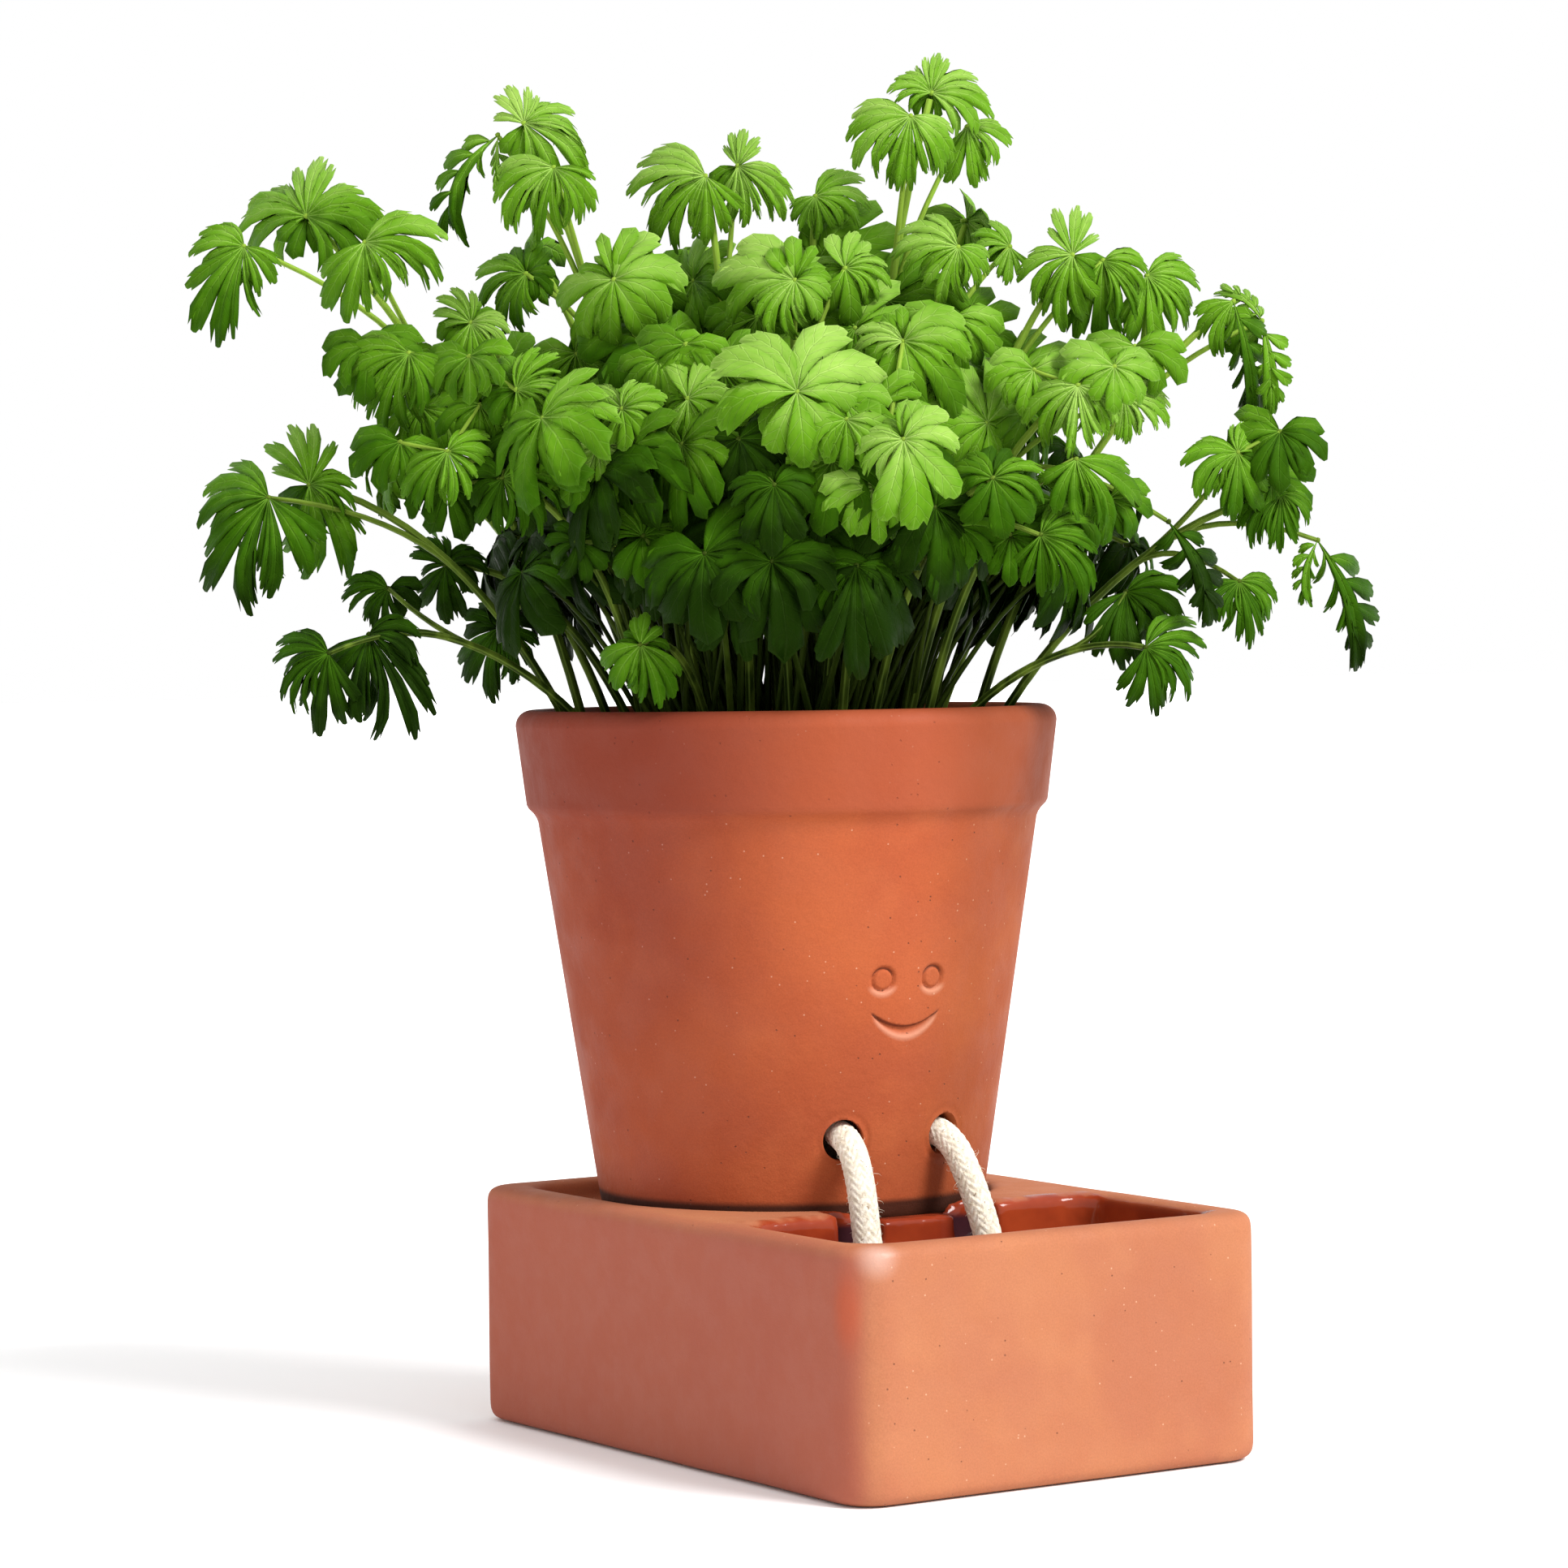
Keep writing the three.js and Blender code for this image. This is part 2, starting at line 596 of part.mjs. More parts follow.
// A thin compound leaf on its hub. It leans with its cluster and its leaflets droop towards their tips.
function makeLeaf({ at, facing, leaflets }, seed) {
  const { right, toward } = turned(facing);
  const outward = new THREE.Vector3(at.x, at.y, 0).normalize();
  const normal = toward.clone().addScaledVector(up, leafLift + 0.3 * (draw(seed, 1) - 0.5));
  normal.addScaledVector(outward, leafSpread).addScaledVector(right, 0.5 * (draw(seed, 2) - 0.5)).normalize();
  const { outline, blades, hub } = leafPlan(leaflets);
  const place = ({ x, y }, side, raise) => {
    const depth = -(normal.dot(right) * x + normal.dot(up) * y) / normal.dot(toward);
    const droop = leafDroop * (x * x + y * y) - raise;
    const point = at.clone().addScaledVector(right, x).addScaledVector(up, y);
    return point.addScaledVector(toward, depth - droop).addScaledVector(normal, (side * leafThickness) / 2);
  };
  const flat = outline.map((point) => ({ point, raise: 0 }));
  const faces = THREE.ShapeUtils.triangulateShape(hub.map((i) => outline[i]), [])
    .map((corners) => corners.map((k) => hub[k]));
  for (const { start, end, middle } of blades) {
    const centre = flat.length;
    flat.push({ point: middle, raise: leafletCrease * middle.length() });
    const before = (start + outline.length - 1) % outline.length;
    const round = [before];
    for (let i = start; i <= end; i += 1) round.push(i);
    round.forEach((i, k) => faces.push([centre, i, round[(k + 1) % round.length]]));
  }
  const places = [1, -1].flatMap((side) => flat.map(({ point, raise }) => place(point, side, raise)));
  const below = flat.length;
  const index = [];
  for (const [a, b, c] of faces) index.push(a, b, c, a + below, c + below, b + below);
  for (let i = 0; i < outline.length; i += 1) {
    const next = (i + 1) % outline.length;
    index.push(i, i + below, next + below, i, next + below, next);
  }
  const geometry = new THREE.BufferGeometry().setFromPoints(places);
  geometry.setIndex(index);
  return toSolid(geometry);
}

// A stalk with its side shoots and leaflets, joined in one solid, and the hole that it stands in.
function makeStalk({ seed, clusters }) {
  const curve = stalkCurve(clusters[0].at, seed);
  const pieces = [tube(curve, stalkRadius, stalkSides, stalkSteps)];
  clusters.forEach((cluster, k) => {
    if (k > 0) {
      const fork = curve.getPoint(0.62 + 0.1 * draw(seed, k));
      const aim = curve.getTangent(0.7).multiplyScalar(0.45 * fork.distanceTo(cluster.at)).add(fork);
      const shoot = new THREE.QuadraticBezierCurve3(fork, aim, cluster.at);
      pieces.push(tube(shoot, shootRadius, shootSides, shootSteps));
    }
    pieces.push(makeLeaf(cluster, seed * 5 + k));
  });
  const hole = tube(curve, stalkRadius + holeClearance, stalkSides + 1, stalkSteps);
  return { solid: simplified(wasm.Manifold.union(pieces), 0.06), hole: hole.translate([0, 0, -holeExtraDepth]) };
}

const group = new THREE.Group();

function addNode(name, solid, surface) {
  const mesh = new THREE.Mesh(toGeometry(solid), surface);
  mesh.name = name;
  group.add(mesh);
  return mesh;
}

const stalks = listStalks();
const made = stalks.map((stalk) => makeStalk(stalk));

addNode('reservoir', makeReservoir(), clay());
const pot = addNode('pot', makePot(), clay());
pot.rotation.z = THREE.MathUtils.degToRad(potTurn);
addNode('soil', makeSoil(made.map(({ hole }) => hole)), earth());
addNode('wick', wickTube(wickRadius), cotton());
stalks.forEach(({ name }, i) => addNode(`parsley_${name}`, made[i].solid, leafGreen()));

export default group;
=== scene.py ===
# A potted parsley plant. The clay pot stands in the recess of a clay water reservoir, and a cotton wick runs
# from the reservoir's open pool through two holes in the pot and the soil.
# Sizes are in millimetres and turn into metres where a piece is made. +Z is up, and the pool is at -Y.

import math

import bpy
import numpy as np
from mathutils import Matrix, Vector, noise


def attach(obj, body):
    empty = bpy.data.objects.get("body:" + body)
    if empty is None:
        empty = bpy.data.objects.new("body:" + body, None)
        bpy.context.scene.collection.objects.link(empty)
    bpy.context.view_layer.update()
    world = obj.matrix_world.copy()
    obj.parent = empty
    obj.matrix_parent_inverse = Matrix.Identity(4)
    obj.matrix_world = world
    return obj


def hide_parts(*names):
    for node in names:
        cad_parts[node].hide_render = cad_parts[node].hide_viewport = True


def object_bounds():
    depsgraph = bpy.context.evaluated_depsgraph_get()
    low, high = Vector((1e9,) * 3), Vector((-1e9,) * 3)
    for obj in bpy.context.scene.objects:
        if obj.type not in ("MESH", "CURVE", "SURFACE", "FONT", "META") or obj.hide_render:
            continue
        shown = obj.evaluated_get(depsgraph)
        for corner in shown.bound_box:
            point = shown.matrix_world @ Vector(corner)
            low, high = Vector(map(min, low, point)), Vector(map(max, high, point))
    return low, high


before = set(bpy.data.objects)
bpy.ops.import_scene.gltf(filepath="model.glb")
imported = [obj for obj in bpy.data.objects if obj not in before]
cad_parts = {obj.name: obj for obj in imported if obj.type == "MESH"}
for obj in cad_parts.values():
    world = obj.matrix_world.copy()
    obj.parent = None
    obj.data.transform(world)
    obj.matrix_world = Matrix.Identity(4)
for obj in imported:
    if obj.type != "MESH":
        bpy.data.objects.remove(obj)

cad_box = [list(corner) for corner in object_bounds()]

# ---------------------------------------------------------------------------------------------------------
# Camera: a long lens, a little above the pot's rim, which looks at the reservoir's front left corner.

camera_place = Vector((-0.607434, -0.930056, 0.176658))
camera_turn = math.radians(-33.116)
camera_pitch = math.radians(1.756)
camera_roll = math.radians(-0.765)
sensor_width = 36.0
pixels_across = 1932
focal_pixels = 6164.5

camera_data = bpy.data.cameras.new("camera")
camera_data.sensor_width = sensor_width
camera_data.lens = sensor_width * focal_pixels / pixels_across
camera_data.clip_start = 0.05
camera = bpy.data.objects.new("camera", camera_data)
view = Matrix.Translation(camera_place)
for turn, axis in ((camera_turn, "Z"), (math.pi / 2 - camera_pitch, "X"), (camera_roll, "Z")):
    view = view @ Matrix.Rotation(turn, 4, axis)
camera.matrix_world = view
bpy.context.scene.collection.objects.link(camera)
bpy.context.scene.camera = camera

# ---------------------------------------------------------------------------------------------------------
# Wick: a round cotton cord, braided from thin strands that pass over two and under two. It goes in at one
# hole of the pot, through the soil and out at the other, and both its legs hang down into the pool.

MM = 0.001
wick_route = np.array([
    (-16.4, -55.6, 12), (-16.4, -55.3, 24), (-16.2, -54.6, 35), (-15.9, -53.9, 42), (-15.7, -52.2, 51),
    (-15.4, -50, 59), (-15, -47, 64.8), (-14.2, -43.1, 67.5), (-13.1, -39.4, 68.2), (-11.6, -32.5, 69.6),
    (-9.4, -20, 72), (-6, -8, 74), (0, -3, 75), (5, -8, 74), (7.4, -20, 72), (8.6, -32.5, 69.6),
    (9.5, -39.3, 68.2), (10.4, -43.1, 67.5), (11.2, -47.1, 64.8), (12.2, -51, 58.4), (13.4, -54.9, 48.6),
    (14.5, -57.4, 38), (15.2, -59, 25), (15.6, -59.6, 12),
])
left_in_wall, left_hole, right_in_wall, right_hole = 8, 7, 16, 17
wick_radius = 3.15
wick_strands = 12
strand_lay = 1.9
strand_relief = 0.34
fuzz_radius = 0.05
fuzz_per_leg = 260
steps_in_wall = 14
# How finely the legs and the hidden loop are made: the step along the cord, and the points round a strand.
leg_fineness = (0.36, 6)
loop_fineness = (1.2, 3)


class Field:
    """A value or a colour all over a surface, from a shader node. Sums and products of fields add nodes."""

    def __init__(self, node, out=0):
        self.tree, self.socket = node.id_data, node.outputs[out]

    def __add__(self, other):
        return calc("ADD", self, other)

    def __sub__(self, other):
        return calc("SUBTRACT", self, other)

    def __rsub__(self, other):
        return calc("SUBTRACT", other, self)

    def __mul__(self, other):
        return calc("MULTIPLY", self, other)

    def __abs__(self):
        return calc("ABSOLUTE", self)


def add(kind, inputs, out=0, tree=None, **settings):
    """Adds a shader node beside those that feed it, and gives one of its outputs."""
    tree = tree or next(value.tree for value in inputs.values() if isinstance(value, Field))
    node = tree.nodes.new("ShaderNode" + kind)
    for name, value in settings.items():
        setattr(node, name, value)
    for name, value in inputs.items():
        if isinstance(value, Field):
            tree.links.new(value.socket, node.inputs[name])
        else:
            node.inputs[name].default_value = value
    return Field(node, out)


def calc(operation, first, second=0.0):
    return add("Math", {0: first, 1: second}, operation=operation)


def ramp(value, first, last, start=0.0, end=1.0):
    """Smoothly from start, at the first value, to end, at the last. The first may be the higher."""
    inputs = {"Value": value, "From Min": first, "From Max": last, "To Min": start, "To Max": end}
    return add("MapRange", inputs, interpolation_type="SMOOTHSTEP")


def mingle(amount, first, second, how="MIX"):
    """Two colours mixed by an amount from 0 to 1."""
    first, second = (colour if isinstance(colour, Field) else (*colour, 1) for colour in (first, second))
    return add("Mix", {0: amount, 6: first, 7: second}, out=2, data_type="RGBA", blend_type=how)


def grain(place, scale, detail=2.0, roughness=0.5, squash=(1, 1, 1)):
    """Cloudy noise from 0 to 1. The scale is in clouds a metre."""
    if squash != (1, 1, 1):
        place = add("VectorMath", {0: place, 1: squash}, operation="MULTIPLY")
    return add("TexNoise", {"Vector": place, "Scale": scale, "Detail": detail, "Roughness": roughness})


def parts(vector):
    """The three numbers of a vector."""
    return [add("SeparateXYZ", {"Vector": vector}, out=k) for k in range(3)]


def in_mm(place):
    return [part * (1 / MM) for part in parts(place)]


def mark(place, name, out=2):
    """A number, or with out=1 a vector, that make_piece gave to each point."""
    return add("Attribute", {}, out, place.tree, attribute_name=name)


def start_finish(name, roughness, shine=0.5):
    """A new material, with its shader and the place on the piece in metres."""
    finish = bpy.data.materials.new(name)
    finish.use_nodes = True
    shader = finish.node_tree.nodes["Principled BSDF"]
    shader.inputs["Roughness"].default_value = roughness
    shader.inputs["Specular IOR Level"].default_value = shine
    return finish, shader, add("TexCoord", {}, 3, finish.node_tree)


def dress(shader, colour, height=None, depth=0.0, strength=1.0, roughness=None):
    """Links a shader to its colour, its relief and, where it changes over the piece, its roughness."""
    links = {"Base Color": colour, "Roughness": roughness}
    if height:
        links["Normal"] = add("Bump", {"Height": height, "Distance": depth, "Strength": strength})
    for name, field in links.items():
        if field:
            field.tree.links.new(field.socket, shader.inputs[name])


def make_piece(name, places, faces, finishes, face_finish=None, marks=()):
    """A smooth mesh from places in millimetres. A mark gives each point a value or vector for the finish."""
    mesh = bpy.data.meshes.new(name)
    mesh.from_pydata((np.asarray(places) * MM).tolist(), [], faces)
    for finish in finishes:
        mesh.materials.append(finish)
    mesh.polygons.foreach_set("use_smooth", [True] * len(faces))
    if face_finish is not None:
        mesh.polygons.foreach_set("material_index", face_finish)
    for label, values in dict(marks).items():
        values = np.asarray(values, dtype=np.float32)
        flat = values.ndim == 1
        layer = mesh.attributes.new(label, "FLOAT" if flat else "FLOAT_VECTOR", "POINT")
        layer.data.foreach_set("value" if flat else "vector", values.ravel())
    piece = bpy.data.objects.new(name, mesh)
    bpy.context.scene.collection.objects.link(piece)
    return piece


def unit(vectors):
    return vectors / np.linalg.norm(vectors, axis=-1, keepdims=True)


def smooth_route(points, spacing):
    """Even steps along a smooth line through the points."""
    padded = np.vstack([2 * points[0] - points[1], points, 2 * points[-1] - points[-2]])
    knots = np.concatenate([[0], np.cumsum(np.sqrt(np.linalg.norm(np.diff(padded, axis=0), axis=1)))])
    line = []
    for i in range(1, len(padded) - 2):
        t = np.linspace(knots[i], knots[i + 1], 24, endpoint=False)[:, None]

        def between(p, q, a, b):
            return ((b - t) * p + (t - a) * q) / (b - a)

        p = [between(padded[i + k], padded[i + k + 1], knots[i + k], knots[i + k + 1]) for k in (-1, 0, 1)]
        q = [between(p[k], p[k + 1], knots[i + k - 1], knots[i + k + 1]) for k in (0, 1)]
        line.append(between(q[0], q[1], knots[i], knots[i + 1]))
    line = np.vstack(line + [points[-1:]])
    along = np.concatenate([[0], np.cumsum(np.linalg.norm(np.diff(line, axis=0), axis=1))])
    steps = np.linspace(0, along[-1], max(2, round(along[-1] / spacing)) + 1)
    return np.stack([np.interp(steps, along, line[:, k]) for k in range(3)], axis=1), steps


def sideways(path):
    """At each point of a path, two directions across it that turn as little as they can."""
    along = unit(np.gradient(path, axis=0))
    start = np.cross(along[0], (1, 0, 0) if abs(along[0][2]) > 0.9 else (0, 0, 1))
    side = np.empty_like(path)
    for i, direction in enumerate(along):
        start = unit(start - direction * start.dot(direction))
        side[i] = start
    return side, np.cross(along, side)


def tube_faces(rings, sides):
    """The faces between rings of points, each with so many sides."""
    return [
        (i * sides + j, i * sides + (j + 1) % sides, (i + 1) * sides + (j + 1) % sides, (i + 1) * sides + j)
        for i in range(rings - 1) for j in range(sides)
    ]


def closed_tube(rings, sides):
    """The same, with a flat end at either side."""
    end = tuple(range((rings - 1) * sides, rings * sides))
    return [tuple(range(sides))[::-1], end] + tube_faces(rings, sides)


def shifted(faces, count):
    """Faces whose points come after so many others."""
    return [tuple(corner + count for corner in face) for face in faces]


def rod(path, radii, sides):
    """A closed round rod along a path. The radii are one for each point, or one for each point and side."""
    side, over = sideways(path)
    angle = 2 * math.pi * np.arange(sides) / sides
    radii = np.broadcast_to(np.reshape(radii, (len(path), -1)), (len(path), sides))[..., None]
    ring = side[:, None] * np.cos(angle)[:, None] + over[:, None] * np.sin(angle)[:, None]
    places = np.vstack([(path[:, None] + radii * ring).reshape(-1, 3), path[:1], path[-1:]])
    first, last = len(path) * sides, (len(path) - 1) * sides
    faces = tube_faces(len(path), sides)
    for j in range(sides):
        k = (j + 1) % sides
        faces += [(first, k, j), (first + 1, last + j, last + k)]
    return places, faces


def draw(a, b):
    """A repeatable draw between 0 and 1 for two counters."""
    value = math.sin(a * 12.9898 + b * 78.233) * 4375.5453
    return value - math.floor(value)


def braid(path, along, sides):
    """The radii of a braided cord, and how far each point is up from the grooves between its strands."""
    around = wick_strands * np.arange(sides)[None] / sides
    leftward = around + along[:, None] / strand_lay
    rightward = around - along[:, None] / strand_lay
    leftward_on_top = np.mod(np.floor(leftward) + np.floor(rightward), 4) < 2
    strand = np.where(leftward_on_top, leftward, rightward)
    height = np.abs(np.sin(math.pi * strand)) ** 0.7
    height = (2 * height + np.roll(height, 1, 0) + np.roll(height, -1, 0)) / 4
    return wick_radius - strand_relief * (1 - height), height


def braided_cord(points, spacing, per_strand):
    """A cord with so many points round each strand: its path, length, places, faces and marks."""
    path, along = smooth_route(points, spacing)
    sides = per_strand * wick_strands
    radii, height = braid(path, along, sides)
    places, faces = rod(path, radii, sides)
    return path, along[-1], places, faces, np.concatenate([height.ravel(), [0.5, 0.5]])


def fuzz(path, count, seed):
    """Loose ends of fibre that stand out of the cotton."""
    side, over = sideways(path)
    places, faces = [], []
    for i in range(count):
        k = int(draw(i, seed) * (len(path) - 1))
        turn = 2 * math.pi * draw(i, seed + 1)
        out = side[k] * math.cos(turn) + over[k] * math.sin(turn)
        lean = unit(np.array([draw(i, seed + n) - 0.5 for n in (2, 3, 4)]))
        reach = 0.6 + 1.4 * draw(i, seed + 5) ** 2
        t = np.linspace(0, 1, 5)[:, None]
        curl = out * np.sin(2.2 * t) * 0.55 + lean * t ** 1.5 * 0.8
        fibre = path[k] + out * (wick_radius - 0.25) + curl * reach
        more, their_faces = rod(fibre, fuzz_radius * (1.2 - t[:, 0]), 3)
        faces += shifted(their_faces, len(places))
        places += list(more)
    return places, faces


def join_body(piece, node, finish=None):
    """Puts a piece in its node's place. A carved piece gets its finish here."""
    if finish:
        piece.data.materials.clear()
        piece.data.materials.append(finish)
    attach(piece, "root")
    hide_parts(node)


cotton, shader, place = start_finish("cotton", 0.92, 0.2)
height = mark(place, "height")
cream = mingle(ramp(grain(place, 900), 0.35, 0.65), (0.70, 0.62, 0.48), (0.86, 0.80, 0.68))
# Painted shade: the cream darkens to brown in the grooves between the strands.
cream = mingle(ramp(height, 0.0, 0.75, 0.75, 0.0), cream, (0.36, 0.28, 0.19))
flecks = ramp(grain(place, 1500, 0.0), 0.76, 0.80, 0.0, 0.7)
dress(shader, mingle(flecks, cream, (0.20, 0.12, 0.06)), grain(place, 3200, 3.0) + height, 0.0002, 0.7)
shader.inputs["Sheen Weight"].default_value = 0.25
shader.inputs["Sheen Roughness"].default_value = 0.5

legs = [
    ("wick_left_leg", wick_route[left_in_wall::-1], wick_route[left_hole]),
    ("wick_right_leg", wick_route[right_in_wall:], wick_route[right_hole]),
]
for number, (name, points, hole) in enumerate(legs):
    path, length, places, faces, marks = braided_cord(points, *leg_fineness)
    fuzz_places, fuzz_faces = fuzz(path[steps_in_wall:], fuzz_per_leg, 20 + 7 * number)
    faces += shifted(fuzz_faces, len(places))
    marks = np.concatenate([marks, np.ones(len(fuzz_places))])
    leg = make_piece(name, np.vstack([places, fuzz_places]), faces, [cotton], marks={"height": marks})
    join_body(leg, "wick")
    round(length * MM, 4)
    (path[::8] * MM).tolist()

places, faces, marks = braided_cord(wick_route[left_in_wall:right_in_wall + 1], *loop_fineness)[2:]
loop = make_piece("wick_in_soil", places, faces, [cotton], marks={"height": marks})
join_body(loop, "wick")

# ---------------------------------------------------------------------------------------------------------
# Studio: a pale floor, an even white surround and one broad soft lamp, in front and to the right.

floor_half = 12000
floor_gap = 0.05
lamp_spread = math.radians(24)
lamp_turn = math.radians(24)
lamp_height = math.radians(43)
lamp_power = 3.8

paper, shader, place = start_finish("floor_paper", 0.9, 0.1)
dress(shader, mingle(grain(place, 3), (0.980, 0.980, 0.982), (0.988, 0.988, 0.988)))
corners = [(x * floor_half, y * floor_half, -floor_gap) for x, y in ((-1, -1), (1, -1), (1, 1), (-1, 1))]
floor = make_piece("floor", corners, [(0, 1, 2, 3)], [paper])

surround = bpy.data.worlds.new("surround")
surround.use_nodes = True
surround.node_tree.nodes["Background"].inputs["Color"].default_value = (1, 1, 1, 1)
bpy.context.scene.world = surround
bpy.context.scene.view_settings.view_transform = "Standard"

lamp_data = bpy.data.lights.new("lamp", "SUN")
lamp_data.angle = lamp_spread
lamp_data.energy = lamp_power
lamp = bpy.data.objects.new("lamp", lamp_data)
lamp.rotation_euler = (math.pi / 2 - lamp_height, 0, lamp_turn)
bpy.context.scene.collection.objects.link(lamp)

# ---------------------------------------------------------------------------------------------------------
# Reservoir: a thick block of fired clay with a pool in front and a shallow recess for the pot. The clay is
# left bare outside, and the pool, its back edge and the two notches for the wick are glazed.

reservoir_half_width = 52.8
reservoir_front = -103.2
reservoir_back = 51.3
reservoir_height = 52.9
reservoir_corner = 9
reservoir_edge = 3
reservoir_wall = 8
pool_floor = 8
pool_back = -50
pool_corner = 7
pool_floor_rounding = 5
rim_rounding = 2
recess_radius = 45.5
recess_back_corner = 8
recess_floor = 48
lip_height = 50.7
lip_back = -42
notch_offset = 15
notch_half_width = 5.25
notch_floor = 42
notch_back = -43.2
above_reservoir = reservoir_height + 2
clay_voxel = 1.0
clay_smoothing = 5
clay_kept = 0.6
dent_depth = 0.25
dent_width = 26


def arc(x, z, radius, start, end, steps):
    """Points along part of a circle. The start and the end are in degrees."""
    turns = np.radians(np.linspace(start, end, steps))
    return [(x + radius * math.cos(turn), z + radius * math.sin(turn)) for turn in turns]


def rounded_outline(half_width, front, rear, front_radius, back_radius):
    corners = [
        (half_width - back_radius, rear - back_radius, back_radius, 0),
        (-half_width + back_radius, rear - back_radius, back_radius, 90),
        (-half_width + front_radius, front + front_radius, front_radius, 180),
        (half_width - front_radius, front + front_radius, front_radius, 270),
    ]
    return [point for x, y, radius, start in corners for point in arc(x, y, radius, start, start + 90, 13)]


def solid_through(name, rings):
    """A closed body through outlines, each with its height."""
    places = [(x, y, z) for outline, z in rings for x, y in outline]
    return make_piece(name, places, closed_tube(len(rings), len(rings[0][0])), [])


def upright_prism(name, outline, from_y, to_y):
    """A prism whose outline stands upright in x and z."""
    places = [(x, y, z) for y in (from_y, to_y) for x, z in outline]
    return make_piece(name, places, [face[::-1] for face in closed_tube(2, len(outline))], [])


def pocket(name, front, rear, half_width, front_radius, back_radius, floor_height, floor_rounding):
    """The room of a pocket, with a rounded floor and a rim that flares into the top."""
    low = arc(-floor_rounding, floor_height + floor_rounding, floor_rounding, -90, 0, 6)
    high = arc(rim_rounding, reservoir_height - rim_rounding, rim_rounding, 180, 90, 6)
    rings = []
    for grow, z in low + high + [(rim_rounding, above_reservoir)]:
        corners = front_radius + grow, back_radius + grow
        rings.append((rounded_outline(half_width + grow, front - grow, rear + grow, *corners), z))
    return solid_through(name, rings)


def carve(piece, cutters, voxel=None, smoothing=0, kept=1.0):
    """Takes the cutters out of a piece. With a voxel size, edges soften and a share of the faces is kept."""
    for cutter in cutters:
        cut = piece.modifiers.new("cut", "BOOLEAN")
        cut.operation = "DIFFERENCE"
        cut.solver = "EXACT"
        cut.object = cutter
    if voxel:
        skin = piece.modifiers.new("skin", "REMESH")
        skin.mode = "VOXEL"
        skin.voxel_size = voxel * MM
        skin.use_smooth_shade = True
        soften = piece.modifiers.new("soften", "SMOOTH")
        soften.factor = 0.5
        soften.iterations = smoothing
        fewer = piece.modifiers.new("fewer", "DECIMATE")
        fewer.ratio = kept
    bpy.context.view_layer.update()
    seen = piece.evaluated_get(bpy.context.evaluated_depsgraph_get())
    carved = bpy.data.meshes.new_from_object(seen)
    piece.modifiers.clear()
    bare, piece.data = piece.data, carved
    bpy.data.meshes.remove(bare)
    for cutter in cutters:
        bpy.data.meshes.remove(cutter.data)
    return piece


def uneven(piece, amount, size):
    """Moves a piece's surface in a little here and there, as hand-finished clay is, and keeps it above 0."""
    mesh = piece.data
    places = np.empty(3 * len(mesh.vertices), dtype=np.float32)
    normals = np.empty_like(places)
    mesh.vertices.foreach_get("co", places)
    mesh.vertices.foreach_get("normal", normals)
    places, normals = places.reshape(-1, 3), normals.reshape(-1, 3)
    wave = np.array([noise.noise(Vector(p) / (size * MM)) for p in places.tolist()])
    places -= normals * ((0.5 + 0.5 * wave) * amount * MM)[:, None]
    places[:, 2] = np.maximum(places[:, 2], 0)
    mesh.vertices.foreach_set("co", places.ravel())
    mesh.update()


insets = arc(reservoir_edge, reservoir_edge, reservoir_edge, 270, 180, 8)
insets += arc(reservoir_edge, reservoir_height - reservoir_edge, reservoir_edge, 180, 90, 8)
rings = []
for inset, z in insets:
    ends = reservoir_front + inset, reservoir_back - inset
    rings.append((rounded_outline(reservoir_half_width - inset, *ends, *[reservoir_corner - inset] * 2), z))
reservoir = solid_through("reservoir_clay", rings)
recess_half_width = recess_radius - rim_rounding
cut_front = pool_back - reservoir_edge - 1
cutters = [
    pocket("pool_room", reservoir_front + reservoir_wall, pool_back, reservoir_half_width - reservoir_wall,
           pool_corner, pool_corner, pool_floor, pool_floor_rounding),
    pocket("recess_room", -recess_half_width, reservoir_back - reservoir_wall, recess_half_width,
           recess_half_width - 0.01, recess_back_corner, recess_floor, 1),
    upright_prism("lip_room", [(-notch_offset, lip_height), (notch_offset, lip_height),
                               (notch_offset, above_reservoir), (-notch_offset, above_reservoir)],
                  cut_front, lip_back),
]
for side in (-1, 1):
    x = side * notch_offset
    outline = arc(x, notch_floor + notch_half_width, notch_half_width, 180, 360, 17)
    outline += [(x + notch_half_width, above_reservoir), (x - notch_half_width, above_reservoir)]
    cutters.append(upright_prism(f"notch_room_{side}", outline, cut_front, notch_back))
carve(reservoir, cutters, clay_voxel, clay_smoothing, clay_kept)
uneven(reservoir, dent_depth, dent_width)


def clay_surface(place, pale, deep, blush):
    """Fired clay, clouded and grainy, with pale specks and dark pinholes. Gives its colour and its relief."""
    colour = mingle(ramp(grain(place, 26, 3.0, 0.6), 0.32, 0.68), pale, deep)
    colour = mingle(ramp(grain(place, 60), 0.50, 0.78, 0.0, 0.6), colour, blush)
    fine = grain(place, 2600)
    colour = mingle(0.16, colour, add("ValToRGB", {"Fac": fine}), "OVERLAY")
    cell = {"Vector": place, "Scale": 620.0}
    lot = add("SeparateColor", {"Color": add("TexVoronoi", cell, out=1)})
    speck = ramp(add("TexVoronoi", cell), 0.16, 0.06)
    pinhole = speck * calc("LESS_THAN", lot, 0.08)
    colour = mingle(speck * calc("GREATER_THAN", lot, 0.85) * 0.38, colour, (0.78, 0.50, 0.34))
    colour = mingle(pinhole * 0.65, colour, (0.10, 0.035, 0.02))
    return colour, fine * 0.35 + grain(place, 500, 3.0) - pinhole * 1.2


def off_spot(place, spot, squash=(1, 1, 1)):
    """How many millimetres a place is from a spot."""
    away = add("VectorMath", {0: place, 1: tuple(Vector(spot) * MM)}, operation="SUBTRACT")
    away = add("VectorMath", {0: away, 1: squash}, operation="MULTIPLY")
    return add("VectorMath", {0: away}, out=1, operation="LENGTH") * (1 / MM)


